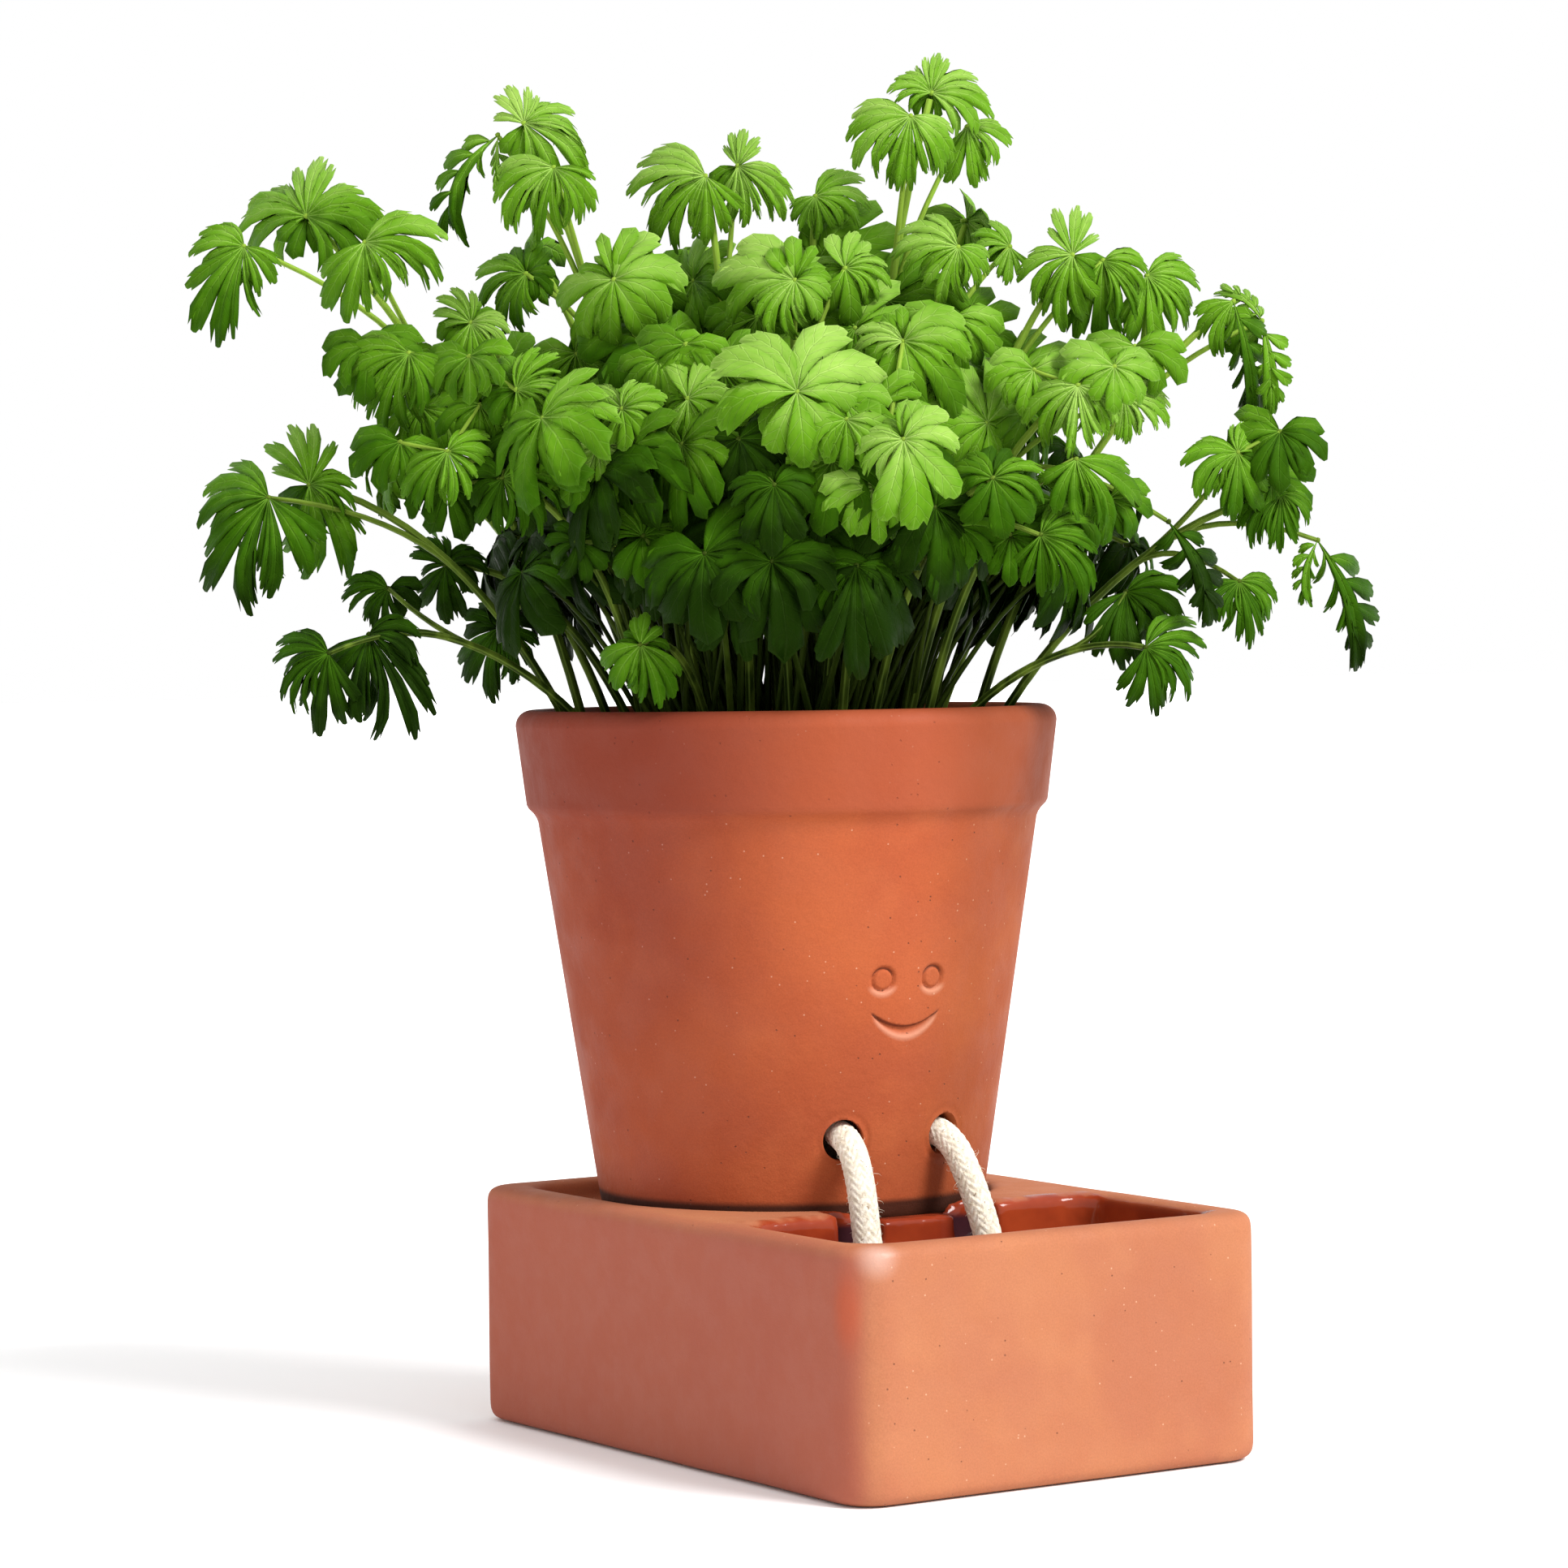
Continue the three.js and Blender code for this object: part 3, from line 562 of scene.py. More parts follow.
clay, shader, place = start_finish("bare_and_glazed_clay", 0.78, 0.25)
bare, relief = clay_surface(place, (0.392, 0.143, 0.064), (0.352, 0.118, 0.057), (0.418, 0.158, 0.070))
x, y, z = in_mm(place)
# The left side is darkened with painted shade, the top of the front corner is made pale with a painted
# highlight, and there is a redder patch beside it.
left_side = ramp(ramp(x, -53.5, -46), 0.0, 1.0, 0.85, 0.0) * ramp(z, 49.5, 52.0, 1.0, 0.5)
bare = mingle(left_side, bare, (0.305, 0.075, 0.047))
# Painted highlight on the top of the front corner, where the clay is also less rough.
off_corner = off_spot(place, (-46.5, -102.2, 50.8))
bare = mingle(ramp(off_corner, 0.4, 6.0, 0.42, 0.0), bare, (0.62, 0.44, 0.38))
off_patch = off_spot(place, (-51.7, -98.5, 40), (1, 1, 0.38))
bare = mingle(ramp(off_patch, 0.8, 4.6, 0.60, 0.0), bare, (0.42, 0.075, 0.028))
# The glaze ends on an uneven line round the pool and covers its back edge. In the notches it is mixed to near
# black: painted shade.
worn = grain(place, 160)
edge = (worn - 0.5) * 3.5
pool = ramp(y + edge, -96.2, -95.0) * ramp(y + edge, -46.2, -48.0)
pool = pool * ramp(abs(x), 46.0, 44.8) * ramp(z + edge, 53.2, 51.8)
back_edge = ramp(abs(x), 21.5, 20.5) * ramp(y, -40.5, -42.5) * ramp(y, -60.5, -59.5)
glazed = calc("MAXIMUM", pool, back_edge)
glaze = mingle(ramp(grain(place, 70, 3.0), 0.3, 0.7), (0.30, 0.042, 0.012), (0.19, 0.022, 0.008))
notch = ramp(abs(abs(x) - notch_offset), 5.6, 5.0) * ramp(z, 50.5, 48.5) * ramp(z, 38.0, 41.5)
glaze = mingle(notch * ramp(y, -53.5, -50.5) * 0.92, glaze, (0.022, 0.010, 0.016))
bare_roughness = ramp(worn, 0.3, 0.7, 0.70, 0.86) - ramp(off_corner, 2.0, 10.0, 0.36, 0.0)
unglazed = 1.0 - glazed
wavy = grain(place, 120) * (glazed * 5.0)
dress(shader, mingle(glazed, bare, glaze), relief * unglazed + wavy, 0.00012,
      roughness=unglazed * bare_roughness + glazed * 0.10)
join_body(reservoir, "reservoir", clay)

# ---------------------------------------------------------------------------------------------------------
# Pot: turned on the wheel from a redder clay, with a collar, and fired bare. Two holes for the wick are cut
# through its wall, and above them a smile is pressed in: two rings for eyes and a curved mouth.

pot_base = 48.3
pot_base_radius = 42.2
pot_top = 159.8
pot_top_radius = 60
pot_wall = 5
pot_floor = pot_base + 6
pot_rim_rounding = 3.5
pot_foot_rounding = 3
collar_bottom = 138.8
collar_bottom_radius = 57.8
collar_step = [(55.7, 136.0), (56.3, 136.9), (56.9, 137.5), (57.4, 138.0)]
body_top = 135
body_top_radius = 55.3
pot_turn = math.radians(-2.6)
wick_hole_radius = 4.5
wick_hole_height = 67.5
wick_hole_angle = math.radians(16.3)
eye_height = 102
eye_offset = 6.2
eye_ring = 2.45
mouth_height = 95
mouth_half_width = 8.7
mouth_upper_sag = 3.3
mouth_lower_sag = 5.2
press_depth = 0.85


def pot_inner_radius(z):
    slope = (body_top_radius - pot_base_radius) / (body_top - pot_base)
    return pot_base_radius - pot_wall + slope * (z - pot_base)


def pressed(x, z, distance_to_hole):
    """How deep the smile and the rings round the wick holes are pressed in."""
    depth = np.zeros_like(x)
    for side in (-1, 1):
        out = np.hypot(x - side * eye_offset, z - eye_height)
        depth += press_depth * np.exp(-((out - eye_ring) / 0.32) ** 2) + 0.10 * (out < eye_ring)
    bow = 1 - (x / mouth_half_width) ** 2
    top, bottom = mouth_height - mouth_upper_sag * bow, mouth_height - mouth_lower_sag * bow
    across = (top - z) / np.maximum(top - bottom, 0.05)
    inside = (bow > 0) & (across > -0.1) & (across < 1.2)
    shape = np.clip((across + 0.1) / 0.18, 0, 1) * np.clip((1.2 - across) / 0.95, 0, 1) ** 0.8
    depth += np.where(inside, 1.15 * press_depth * shape * np.clip(bow * 4, 0, 1), 0)
    return depth + 0.3 * np.exp(-((distance_to_hole - wick_hole_radius - 1.1) / 0.4) ** 2)


foot_top = pot_base + pot_foot_rounding
foot_radius = pot_inner_radius(foot_top) + pot_wall
slope_up = (body_top_radius - foot_radius) / (body_top - foot_top)
heights = np.concatenate([
    np.arange(foot_top + 1, 60, 1.9), np.arange(60, 76, 0.7), np.arange(76.5, 88, 1.7),
    np.arange(88, 105.5, 0.3), np.arange(106.5, body_top - 1, 1.9),
])
rim_bottom = pot_top - pot_rim_rounding
collar_slope = (pot_top_radius - collar_bottom_radius) / (rim_bottom - collar_bottom)
outer = [(radius, pot_base) for radius in np.linspace(0.5, pot_base_radius - pot_foot_rounding, 12)]
outer += [
    (pot_base_radius - pot_foot_rounding * (1 - math.sin(t)) + 0.4 * (1 - math.cos(t)),
     pot_base + pot_foot_rounding * (1 - math.cos(t)))
    for t in np.radians(np.linspace(12, 90, 7))
]
outer += [(foot_radius + slope_up * (z - foot_top), z) for z in heights]
outer += [(body_top_radius, body_top), *collar_step, (collar_bottom_radius, collar_bottom)]
outer += [
    (collar_bottom_radius + collar_slope * (z - collar_bottom), z)
    for z in np.arange(collar_bottom + 0.8, rim_bottom, 1.5)
]
outer += arc(pot_top_radius - pot_rim_rounding, rim_bottom, pot_rim_rounding, 0, 84, 8)
inner_top = pot_inner_radius(pot_top) + 1
outer += [(inner_top + 0.8, pot_top - 0.2), (inner_top + 0.2, pot_top - 1.0)]
outer += [(pot_inner_radius(z), z) for z in np.arange(pot_top - 3, pot_floor + pot_foot_rounding, -4)]
floor_corner = pot_floor + pot_foot_rounding
outer += arc(pot_inner_radius(floor_corner) - pot_foot_rounding, floor_corner, pot_foot_rounding, 0, -90, 6)
floor_edge = pot_inner_radius(pot_floor) - pot_foot_rounding - 3
outer += [(radius, pot_floor) for radius in np.linspace(floor_edge, 0.5, 8)]
profile = np.array(outer)
front_half = np.radians(np.concatenate(
    [np.arange(0, 13, 0.42), np.arange(13, 25, 0.85), np.arange(26, 178, 3.4)]
))
angles = np.concatenate([-front_half[:0:-1], front_half, [math.pi]])
radius, height = profile[:, 0][:, None], profile[:, 1][:, None]
is_outside = (np.arange(len(profile)) < int(np.argmax(profile[:, 1])))[:, None]
across = radius * np.sin(angles)
off_hole = np.minimum(*(
    np.hypot(radius * (angles - side * wick_hole_angle), height - wick_hole_height) for side in (-1, 1)
))
facing_front = is_outside & (np.abs(angles) < 0.6) & (height > pot_base + 5) & (height < 120)
sunk = radius - np.where(facing_front, pressed(across, height + 0 * angles, off_hole), 0)
turned = angles + pot_turn
grid = np.stack([sunk * np.sin(turned), -sunk * np.cos(turned), np.broadcast_to(height, sunk.shape)], axis=2)
pot = make_piece("pot_clay", grid.reshape(-1, 3), closed_tube(*sunk.shape), [])
cutters = []
for side in (-1, 1):
    turn = side * wick_hole_angle + pot_turn
    out = np.array([math.sin(turn), -math.cos(turn), 0])
    line = np.array([out * (pot_base_radius + reach) + (0, 0, wick_hole_height) for reach in (-12, 12)])
    cutters.append(make_piece(f"wick_hole_{side}", *rod(line, [wick_hole_radius] * 2, 48), []))
carve(pot, cutters)

red_clay, shader, place = start_finish("red_clay", 0.7, 0.2)
colour, relief = clay_surface(place, (0.400, 0.088, 0.027), (0.345, 0.069, 0.023), (0.425, 0.102, 0.033))
x, y, z = in_mm(place)
# The collar is darker, and painted shade darkens the left side and the right side.
colour = mingle(ramp(z, 136.5, 139.5, 0.0, 0.75), colour, (0.285, 0.056, 0.021))
colour = mingle(ramp(x, -56, -20, 0.95, 0.0), colour, (0.60, 0.47, 0.57), "MULTIPLY")
# Painted shade darkens the upper edges of the pressed rings and mouth, and a painted highlight lies under the
# eyes and on the lower lip.
across = abs(x * math.cos(pot_turn) + y * math.sin(pot_turn))
over_eye, over_mouth = z - eye_height, z - mouth_height
off_eye = add("CombineXYZ", {"X": across - eye_offset, "Z": over_eye})
off_ring = add("VectorMath", {0: off_eye}, out=1, operation="LENGTH") - eye_ring
ring_edge = ramp(abs(off_ring), 0.4, 0.1) * ramp(over_eye, 0.2, 1.8)
ring_highlight = ramp(abs(off_ring - 0.6), 1.3, 0.0) * ramp(over_eye, -1.0, -2.6)
bow = across * (1 / mouth_half_width)
bow = 1.0 - bow * bow
top_edge = ramp(abs(over_mouth + bow * mouth_upper_sag), 0.4, 0.1) * ramp(across, mouth_half_width, 8.0)
lip_highlight = ramp(abs(over_mouth + bow * mouth_lower_sag + 0.4), 1.3, 0.0) * ramp(across, 8.6, 6.6)
front = ramp(y, -20, -30)
colour = mingle(calc("MAXIMUM", ring_edge, top_edge) * front * 0.72, colour, (0.13, 0.028, 0.013))
colour = mingle(calc("MAXIMUM", ring_highlight, lip_highlight) * front * 0.30, colour, (0.80, 0.47, 0.33))
# A dark line round the foot, just above the reservoir's edge, is a painted shadow of the gap under the pot.
colour = mingle(ramp(z, 53.0, 54.7, 0.88, 0.0), colour, (0.016, 0.006, 0.004))
# Painted shade: the right side is darkened.
colour = mingle(ramp(x, -6, 18), colour, (0.76, 0.79, 0.70), "MULTIPLY")
dress(shader, colour, relief, 0.00014, roughness=ramp(grain(place, 90, 3.0), 0.3, 0.7, 0.60, 0.80))
join_body(pot, "pot", red_clay)

# ---------------------------------------------------------------------------------------------------------
# Soil: dark potting earth that fills the pot to a finger's width under the rim, with crumbs on top.

soil_gap = 0.5
soil_bottom = pot_floor + 0.3
soil_edge = 148
soil_crown = 150.5
soil_slope_width = 16
crumb_count = 420
smallest_crumb = 0.5
crumb_size_range = 1.3

soil_radius = pot_inner_radius(soil_edge) - soil_gap


def soil_height(r):
    """The top of the soil: a low crown that slopes down beside the pot's wall."""
    slope_start = soil_radius - soil_slope_width
    return np.interp(r, [0, slope_start, soil_radius], [soil_crown, (soil_edge + soil_crown) / 2, soil_edge])


rings = [(pot_inner_radius(soil_bottom) - soil_gap - pot_foot_rounding, soil_bottom)]
side_heights = np.linspace(soil_bottom + pot_foot_rounding, soil_edge, 12)
rings += [(pot_inner_radius(z) - soil_gap, z) for z in side_heights]
rings += [(r, soil_height(r)) for r in np.linspace(soil_radius - 1, 1, 42)]
spokes = 150
places = []
for r, z in rings:
    for i in range(spokes):
        turn = 2 * math.pi * i / spokes
        spot = Vector((r * math.cos(turn), r * math.sin(turn), z))
        top = 1.0 if z > soil_edge - 0.1 and r < soil_radius - 0.5 else 0.0
        lump = noise.fractal(spot / 4.5, 0.9, 2.1, 4) * 0.9 - 0.9
        places.append((spot.x, spot.y, min(spot.z + top * lump, soil_crown - 0.2)))
faces = closed_tube(len(rings), spokes)
crumb_corners = unit(np.array([
    (0, 1, 1.6), (0, 1, -1.6), (0, -1, 1.6), (0, -1, -1.6), (1.6, 0, 1), (-1.6, 0, 1),
    (1.6, 0, -1), (-1.6, 0, -1), (1, 1.6, 0), (-1, 1.6, 0), (1, -1.6, 0), (-1, -1.6, 0),
]))
crumb_faces = [
    (0, 4, 8), (0, 8, 9), (0, 9, 5), (0, 5, 2), (0, 2, 4), (3, 1, 7), (3, 7, 11), (3, 11, 10), (3, 10, 6),
    (3, 6, 1), (1, 6, 8), (9, 8, 1), (1, 9, 7), (7, 9, 5), (5, 7, 11), (2, 5, 11), (2, 11, 10), (2, 10, 4),
    (4, 10, 6), (4, 6, 8),
]
for i in range(crumb_count):
    out = (soil_radius - 3) * math.sqrt(draw(i, 51))
    turn = 2 * math.pi * draw(i, 52)
    size = smallest_crumb + crumb_size_range * draw(i, 53) ** 2
    height = min(soil_height(out) - 0.5, soil_crown - size)
    at = np.array([out * math.cos(turn), out * math.sin(turn), height])
    jag = np.array([0.7 + 0.5 * draw(i * 12 + n, 54) for n in range(12)])[:, None]
    faces += shifted(crumb_faces, len(places))
    places += (at + crumb_corners * jag * size * (1, 1, 0.7)).tolist()
earth, shader, place = start_finish("potting_earth", 0.95, 0.2)
lumps = grain(place, 350, 4.0, 0.7)
brown = mingle(ramp(lumps, 0.3, 0.7), (0.014, 0.009, 0.006), (0.060, 0.036, 0.022))
bark = ramp(grain(place, 700, 1.0), 0.66, 0.72, 0.0, 0.8)
dress(shader, mingle(bark, brown, (0.16, 0.10, 0.06)), lumps, 0.0009)
soil = make_piece("soil_earth", places, faces, [earth])
join_body(soil, "soil")

# ---------------------------------------------------------------------------------------------------------
# Parsley: ribbed stalks lean out of the soil and end in leaves. A leaf's leaflets fan out from its hub and
# droop. Each is divided into lobes, and a lobe is a thin sheet with round teeth, a rib and side veins.

plant_turn = math.radians(-33)
stalk_depth = 8
stalk_foot_reach = 42
leaf_thickness = 0.42
leaf_lift = 0.55
leaf_spread = 0.35
leaf_droop = 0.014
leaf_crease = 0.08
side_setback = 0.45
back_paleness = 0.10
leaf_sag = math.radians(32)
hub_radius = 0.4
# Stems: their radius at the foot and at the end, and how many sides and steps they have.
stalk_stem = (1.15, 0.7, 13, 18)
branch_stem = (0.75, 0.5, 10, 9)
young_stem = (0.85, 0.5, 7, 9)
bare_stem = (0.75, 0.35, 6, 8)
shoot_stem = (0.5, 0.4, 8, 5)
hub_stem = (0.5, 0.6, 8, 2)
stem_share_shown = 0.992
stem_ribs = 5
stem_rib_height = 0.09

# One row for each stalk: its name, then its clusters of leaflets. A cluster is placed across, above the
# ground and towards the plant's broad front, and a leaflet has a direction in degrees, a length and a width.
# A last number says how light the cluster is, where it differs from its neighbours: partly its own green and
# partly painted light and shade.
stalk_rows = [
    ("left_top", [
        (-105, 270, -4, [(165, 18), (-8, 20), (88, 15)]),
        (-117, 262, 15, [(-106, 23), (168, 13), (-65, 12)]),
        (-90, 262, 22, [(-103, 18), (-6, 19), (-52, 14)])]),
    ("left_middle", [
        (-68, 245, 10, [(-85, 15), (130, 10), (-20, 10)]),
        (-81, 238, 20, [(-116, 20), (190, 18), (-64, 14)])]),
    ("left_arm", [
        (-104, 210, 10, [(-60, 22), (105, 15), (-10, 12)], 0.46),
        (-112, 207, 20, [(176, 18), (-112, 26), (-76, 22)], 0.36)]),
    ("left_low", [
        (-90, 177, 28, [(-60, 25), (-100, 19), (-5, 13)]),
        (-98, 173, 37, [(172, 13), (-98, 18), (-142, 15)]),
        (-87, 187, 10, [(176, 11), (-120, 10)])]),
    ("left_back", [
        (-75, 192, 0, [(-95, 13), (130, 9), (10, 10)]),
        (-64, 178, -10, [(-105, 17), (-60, 13)])]),
    ("top_left", [
        (-56, 289, 5, [(-32, 20), (105, 10), (12, 12)]),
        (-62, 287, 0, [(-128, 26, 0.7), (-92, 13, 0.8)]),
        (-49, 278, 18, [(-150, 17), (-103, 17), (-52, 14)]),
        (-56, 256, 4, [(186, 13), (-130, 14)])]),
    ("top_middle", [
        (-16, 276, 15, [(172, 18), (-140, 19), (-86, 15)]),
        (-9, 279, 5, [(-42, 16), (-76, 14), (80, 9)])]),
    ("upper_left", [(-36, 253, 25, [(-95, 15), (20, 16), (-140, 15)])]),
    ("top_right", [
        (34, 295, 0, [(-3, 15), (85, 10), (155, 10)]),
        (29, 289, 10, [(-152, 17), (-100, 17), (-50, 15)]),
        (42, 288, -5, [(-35, 11), (-85, 14)])]),
    ("right_upper", [
        (39, 260, 12, [(165, 15), (-115, 14), (-50, 10)]),
        (51, 261, -2, [(138, 9), (-90, 9)])]),
    ("right_high", [
        (64, 258, 12, [(-112, 17), (-150, 14), (85, 12)]),
        (71, 257, 7, [(-95, 19), (-55, 15), (-18, 12)])]),
    ("right_top", [
        (100, 248, 3, [(-80, 28, 0.7), (-125, 13)]),
        (107, 244, -4, [(-86, 21, 0.7), (125, 12, 0.7)]),
        (81, 254, 2, [(-85, 18), (-38, 15), (5, 13)])]),
    ("right_arm", [
        (109, 205, 14, [(-95, 13), (-140, 14), (-30, 9)], 0.40),
        (99, 214, 20, [(-160, 14), (-95, 15), (60, 9)], 0.46),
        (118, 195, 4, [(-68, 30, 0.6), (-115, 15, 0.7)], 0.44),
        (99, 186, 20, [(-75, 15), (-25, 11), (-130, 10)], 0.34)]),
    ("top_right_inner", [(8, 273, -5, [(12, 13), (-80, 10), (-120, 9)])]),
    ("upper_middle", [
        (3, 252, 30, [(160, 18), (-130, 14), (-45, 10)]),
        (14, 255, 22, [(-80, 13), (0, 11), (80, 9)])]),
    ("right_low", [
        (77, 172, 40, [(-30, 15), (-78, 15), (20, 14)]),
        (74, 184, 25, [(-8, 14), (-105, 17)])]),
    ("right_front", [
        (63, 228, 42, [(-95, 16), (-140, 15), (-50, 13)]),
        (74, 226, 24, [(-10, 12), (-80, 10)]),
        (83, 199, 30, [(-62, 24, 0.6)])]),
    ("right_dark", [(62, 212, 50, [(-50, 18), (-100, 13)])]),
    ("right_inner", [
        (44, 208, 58, [(0, 12), (-82, 13), (150, 9)]),
        (54, 196, 56, [(-42, 17), (30, 12), (-92, 13)])]),
    ("front_high", [(3, 226.5, 62, [(-84, 16), (148, 19), (33, 20)], 0.73)]),
    ("front_right", [
        (25, 216, 68, [(-78, 19), (10, 12), (-155, 11)], 0.73),
        (26, 238, 40, [(-48, 20), (5, 15), (170, 11)])]),
    ("front_left", [
        (-20, 226, 48, [(-90, 15), (70, 12), (8, 10)]),
        (-34, 224, 48, [(165, 11), (30, 10), (-80, 9)])]),
    ("middle_left", [
        (-39.5, 216, 44, [(-20, 10), (172, 10), (-82, 9)]),
        (-57, 229, 35, [(5, 14), (-45, 12), (50, 12)])]),
    ("left_front", [
        (-60, 210, 38, [(0, 16), (-42, 15), (-100, 12)]),
        (-72, 216, 35, [(-127, 15), (-72, 12), (10, 10)])]),
    ("front_middle", [(-2, 207, 64, [(-95, 15), (190, 10), (-10, 10)], 0.16)]),
    ("front_low_left", [(-11, 191, 58, [(-82, 21), (-148, 14), (-40, 14)], 0.12)]),
    ("front_low_right", [
        (15, 190, 60, [(-92, 24), (-140, 13), (-35, 13)], 0.15),
        (37, 198, 55, [(-40, 10), (-100, 9)])]),
    ("front_small", [
        (-30, 197, 48, [(0, 11), (-92, 11), (130, 10)]),
        (-44, 196, 48, [(-70, 9)])]),
    ("front_lowest", [(-30.5, 174, 56, [(-70, 14), (-128, 11), (80, 7)], 0.38)]),
]
# Stalks behind: how many, from and to which angle round the plant, how far out and how high.
back_fan = [(5, 116, 244, 88, 214), (4, 116, 244, 56, 264)]
back_leaflets = (3, 78, 13, 7)
# Inner stalks with one leaf each, turned by the golden angle under a dome. These are the draws that are clear
# of all the other stalks.
inner_draws = (71, 619, 690, 946, 2664, 3204, 3276, 3900, 4643, 4831, 5519, 5615)
golden_turn = 137.5
inner_leaflets = (4, 84, 16, 4)
UP = np.array([0.0, 0.0, 1.0])


def facing_axes(degrees):
    """Rightward and forward for what faces so many degrees round from the plant's broad front."""
    angle = plant_turn + math.radians(degrees)
    return np.array([math.cos(angle), math.sin(angle), 0]), np.array([math.sin(angle), -math.cos(angle), 0])


plant_right, plant_front = facing_axes(0)


def spot_at(across, z, out):
    return plant_right * across + plant_front * out + UP * z


def drawn_leaflets(kind, seed, k):
    """The leaflets of a drawn leaf, fanned about the way it hangs."""
    count, spacing, shortest, length_range = kind
    return [
        (-92 + (n - (count - 1) / 2) * spacing + 26 * (draw(seed + n, k + 4) - 0.5),
         shortest + length_range * draw(seed + n, k + 6))
        for n in range(count)
    ]


def list_stalks():
    """Every leafy stalk: its name, seed and clusters. A cluster has a place, a facing and its leaflets."""
    stalks = [
        (name, seed, [(spot_at(across, z, out), 0, *rest) for across, z, out, *rest in clusters])
        for seed, (name, clusters) in enumerate(stalk_rows)
    ]
    for count, start, end, reach, z in back_fan:
        for i in range(count):
            seed = len(stalks)
            clusters = []
            for k in (0, 1):
                facing = start + (end - start) * i / (count - 1) + 8.5 * (-1 if k else 1)
                out = reach * (0.9 + 0.2 * draw(seed, k)) * (0.86 if k else 1)
                at = facing_axes(facing)[1] * out + UP * (z + 12 * (draw(seed, k + 2) - 0.5) - 22 * k)
                clusters.append((at, facing, drawn_leaflets(back_leaflets, seed, k)))
            stalks.append((f"back_{seed - len(stalk_rows) + 1}", seed, clusters))
    for i, seed in enumerate(inner_draws):
        facing = (seed * golden_turn) % 360
        out = 10 + 46 * draw(seed, 1)
        at = facing_axes(facing)[1] * out + UP * (252 - 0.014 * out * out - 42 * draw(seed, 2))
        stalks.append((f"inner_{i + 1}", seed, [(at, facing, drawn_leaflets(inner_leaflets, seed, 0))]))
    return stalks


def stalk_line(end, seed):
    """The four points of a stalk's bend: straight out of the soil, then over to its end cluster."""
    reach = math.hypot(end[0], end[1])
    outward = np.array([end[0], end[1], 0]) / reach
    foot_reach = min(stalk_foot_reach, 6 + 0.36 * reach) - 5 * draw(seed, 11)
    foot = outward * foot_reach + np.array([-outward[1], outward[0], 0]) * 7 * (draw(seed, 12) - 0.5)
    foot[2] = soil_edge - stalk_depth
    rise = end[2] - foot[2]
    climb = min(max((end[2] - 195) / 70, -0.2), 1.2)
    arrive = unit(outward * reach / 100 + UP * climb)
    spread = np.linalg.norm(end - foot)
    return foot, foot + UP * 0.3 * max(rise, 60) + outward * 0.06 * reach, end - arrive * 0.36 * spread, end


def young_line(end, seed):
    """A young stalk's bend. It starts anywhere in the pot and crosses its neighbours on the way up."""
    foot, _, over, end = stalk_line(end, seed)
    aside = np.array([-foot[1], foot[0], 0]) / np.hypot(foot[0], foot[1])
    foot = foot + aside * 30 * (draw(seed, 13) - 0.5) - (foot - UP * foot[2]) * 0.3 * draw(seed, 14)
    knee = foot + (end - foot) * 0.36 + UP * 4 * draw(seed, 15) + aside * 6 * (draw(seed, 16) - 0.5)
    return foot, knee, (over + knee + (end - knee) * 0.6) / 2, end


def bend(points, t):
    """Places along a bend of three or four points."""
    t = np.asarray(t, dtype=float)[..., None]
    while len(points) > 1:
        points = [(1 - t) * a + t * b for a, b in zip(points, points[1:])]
    return points[0]


def grid_faces(spokes, rings):
    """The faces of a thin closed sheet: a front and a back grid, and the edge between them."""
    below = spokes * rings
    grid = np.arange(below).reshape(rings, spokes).tolist()
    faces = []
    for inner, outer in zip(grid, grid[1:]):
        for quad in zip(inner, outer, outer[1:], inner[1:]):
            faces += [quad, *shifted([quad[::-1]], below)]
    edge = grid[0] + [ring[-1] for ring in grid[1:]] + grid[-1][-2::-1] + [ring[0] for ring in grid[-2:0:-1]]
    return faces + [(a, b, b + below, a + below) for a, b in zip(edge, edge[1:] + edge[:1])]


# A lobe's plan: where its spokes stand, from -1 to 1 across its fan, how far out it reaches there, and where
# its round teeth meet.
fine_spokes = np.array([-1, -0.95, -0.78, -0.5, -0.34, -0.18, 0, 0.18, 0.34, 0.5, 0.78, 0.95, 1.0])
plain_spokes = np.array([-1, -0.92, -0.64, -0.34, 0, 0.34, 0.64, 0.92, 1.0])
fan_spokes = [0, 0.18, 0.5, 0.64, 0.78, 0.95, 1.0]
fan_reach = [1.0, 0.99, 0.95, 0.88, 0.78, 0.48, 0.14]
tooth_meets = 0.34
fine_rings = np.array([0.0, 0.3, 0.56, 0.8, 1.0])
plain_rings = np.array([0.0, 0.4, 0.75, 1.0])
# How a leaflet is divided. Each lobe has its turn from the leaflet's middle and half its fan, in degrees, and
# its length and its start along the middle, as shares of the leaflet's length.
broad_lobes = [(-41, 25, 0.9, 0), (41, 25, 0.9, 0), (0, 24, 1, 0)]
broad_teeth = 0.5
cut_lobes = [(-52, 14, 0.72, 0), (52, 14, 0.72, 0), (-26, 14.5, 0.92, 0), (26, 14.5, 0.92, 0), (0, 15, 1, 0)]
feather_lobes = [
    (-58, 24, 0.27, 0.08), (58, 24, 0.28, 0.14), (-54, 24, 0.30, 0.26), (54, 24, 0.30, 0.33),
    (-48, 22, 0.28, 0.44), (48, 22, 0.28, 0.51), (-40, 22, 0.25, 0.62), (40, 22, 0.24, 0.68),
    (0, 9, 1, 0), (0, 24, 0.30, 0.71),
]
widest_feather = 0.8
cut_leaves_across = 44
cut_leaves_height = 256


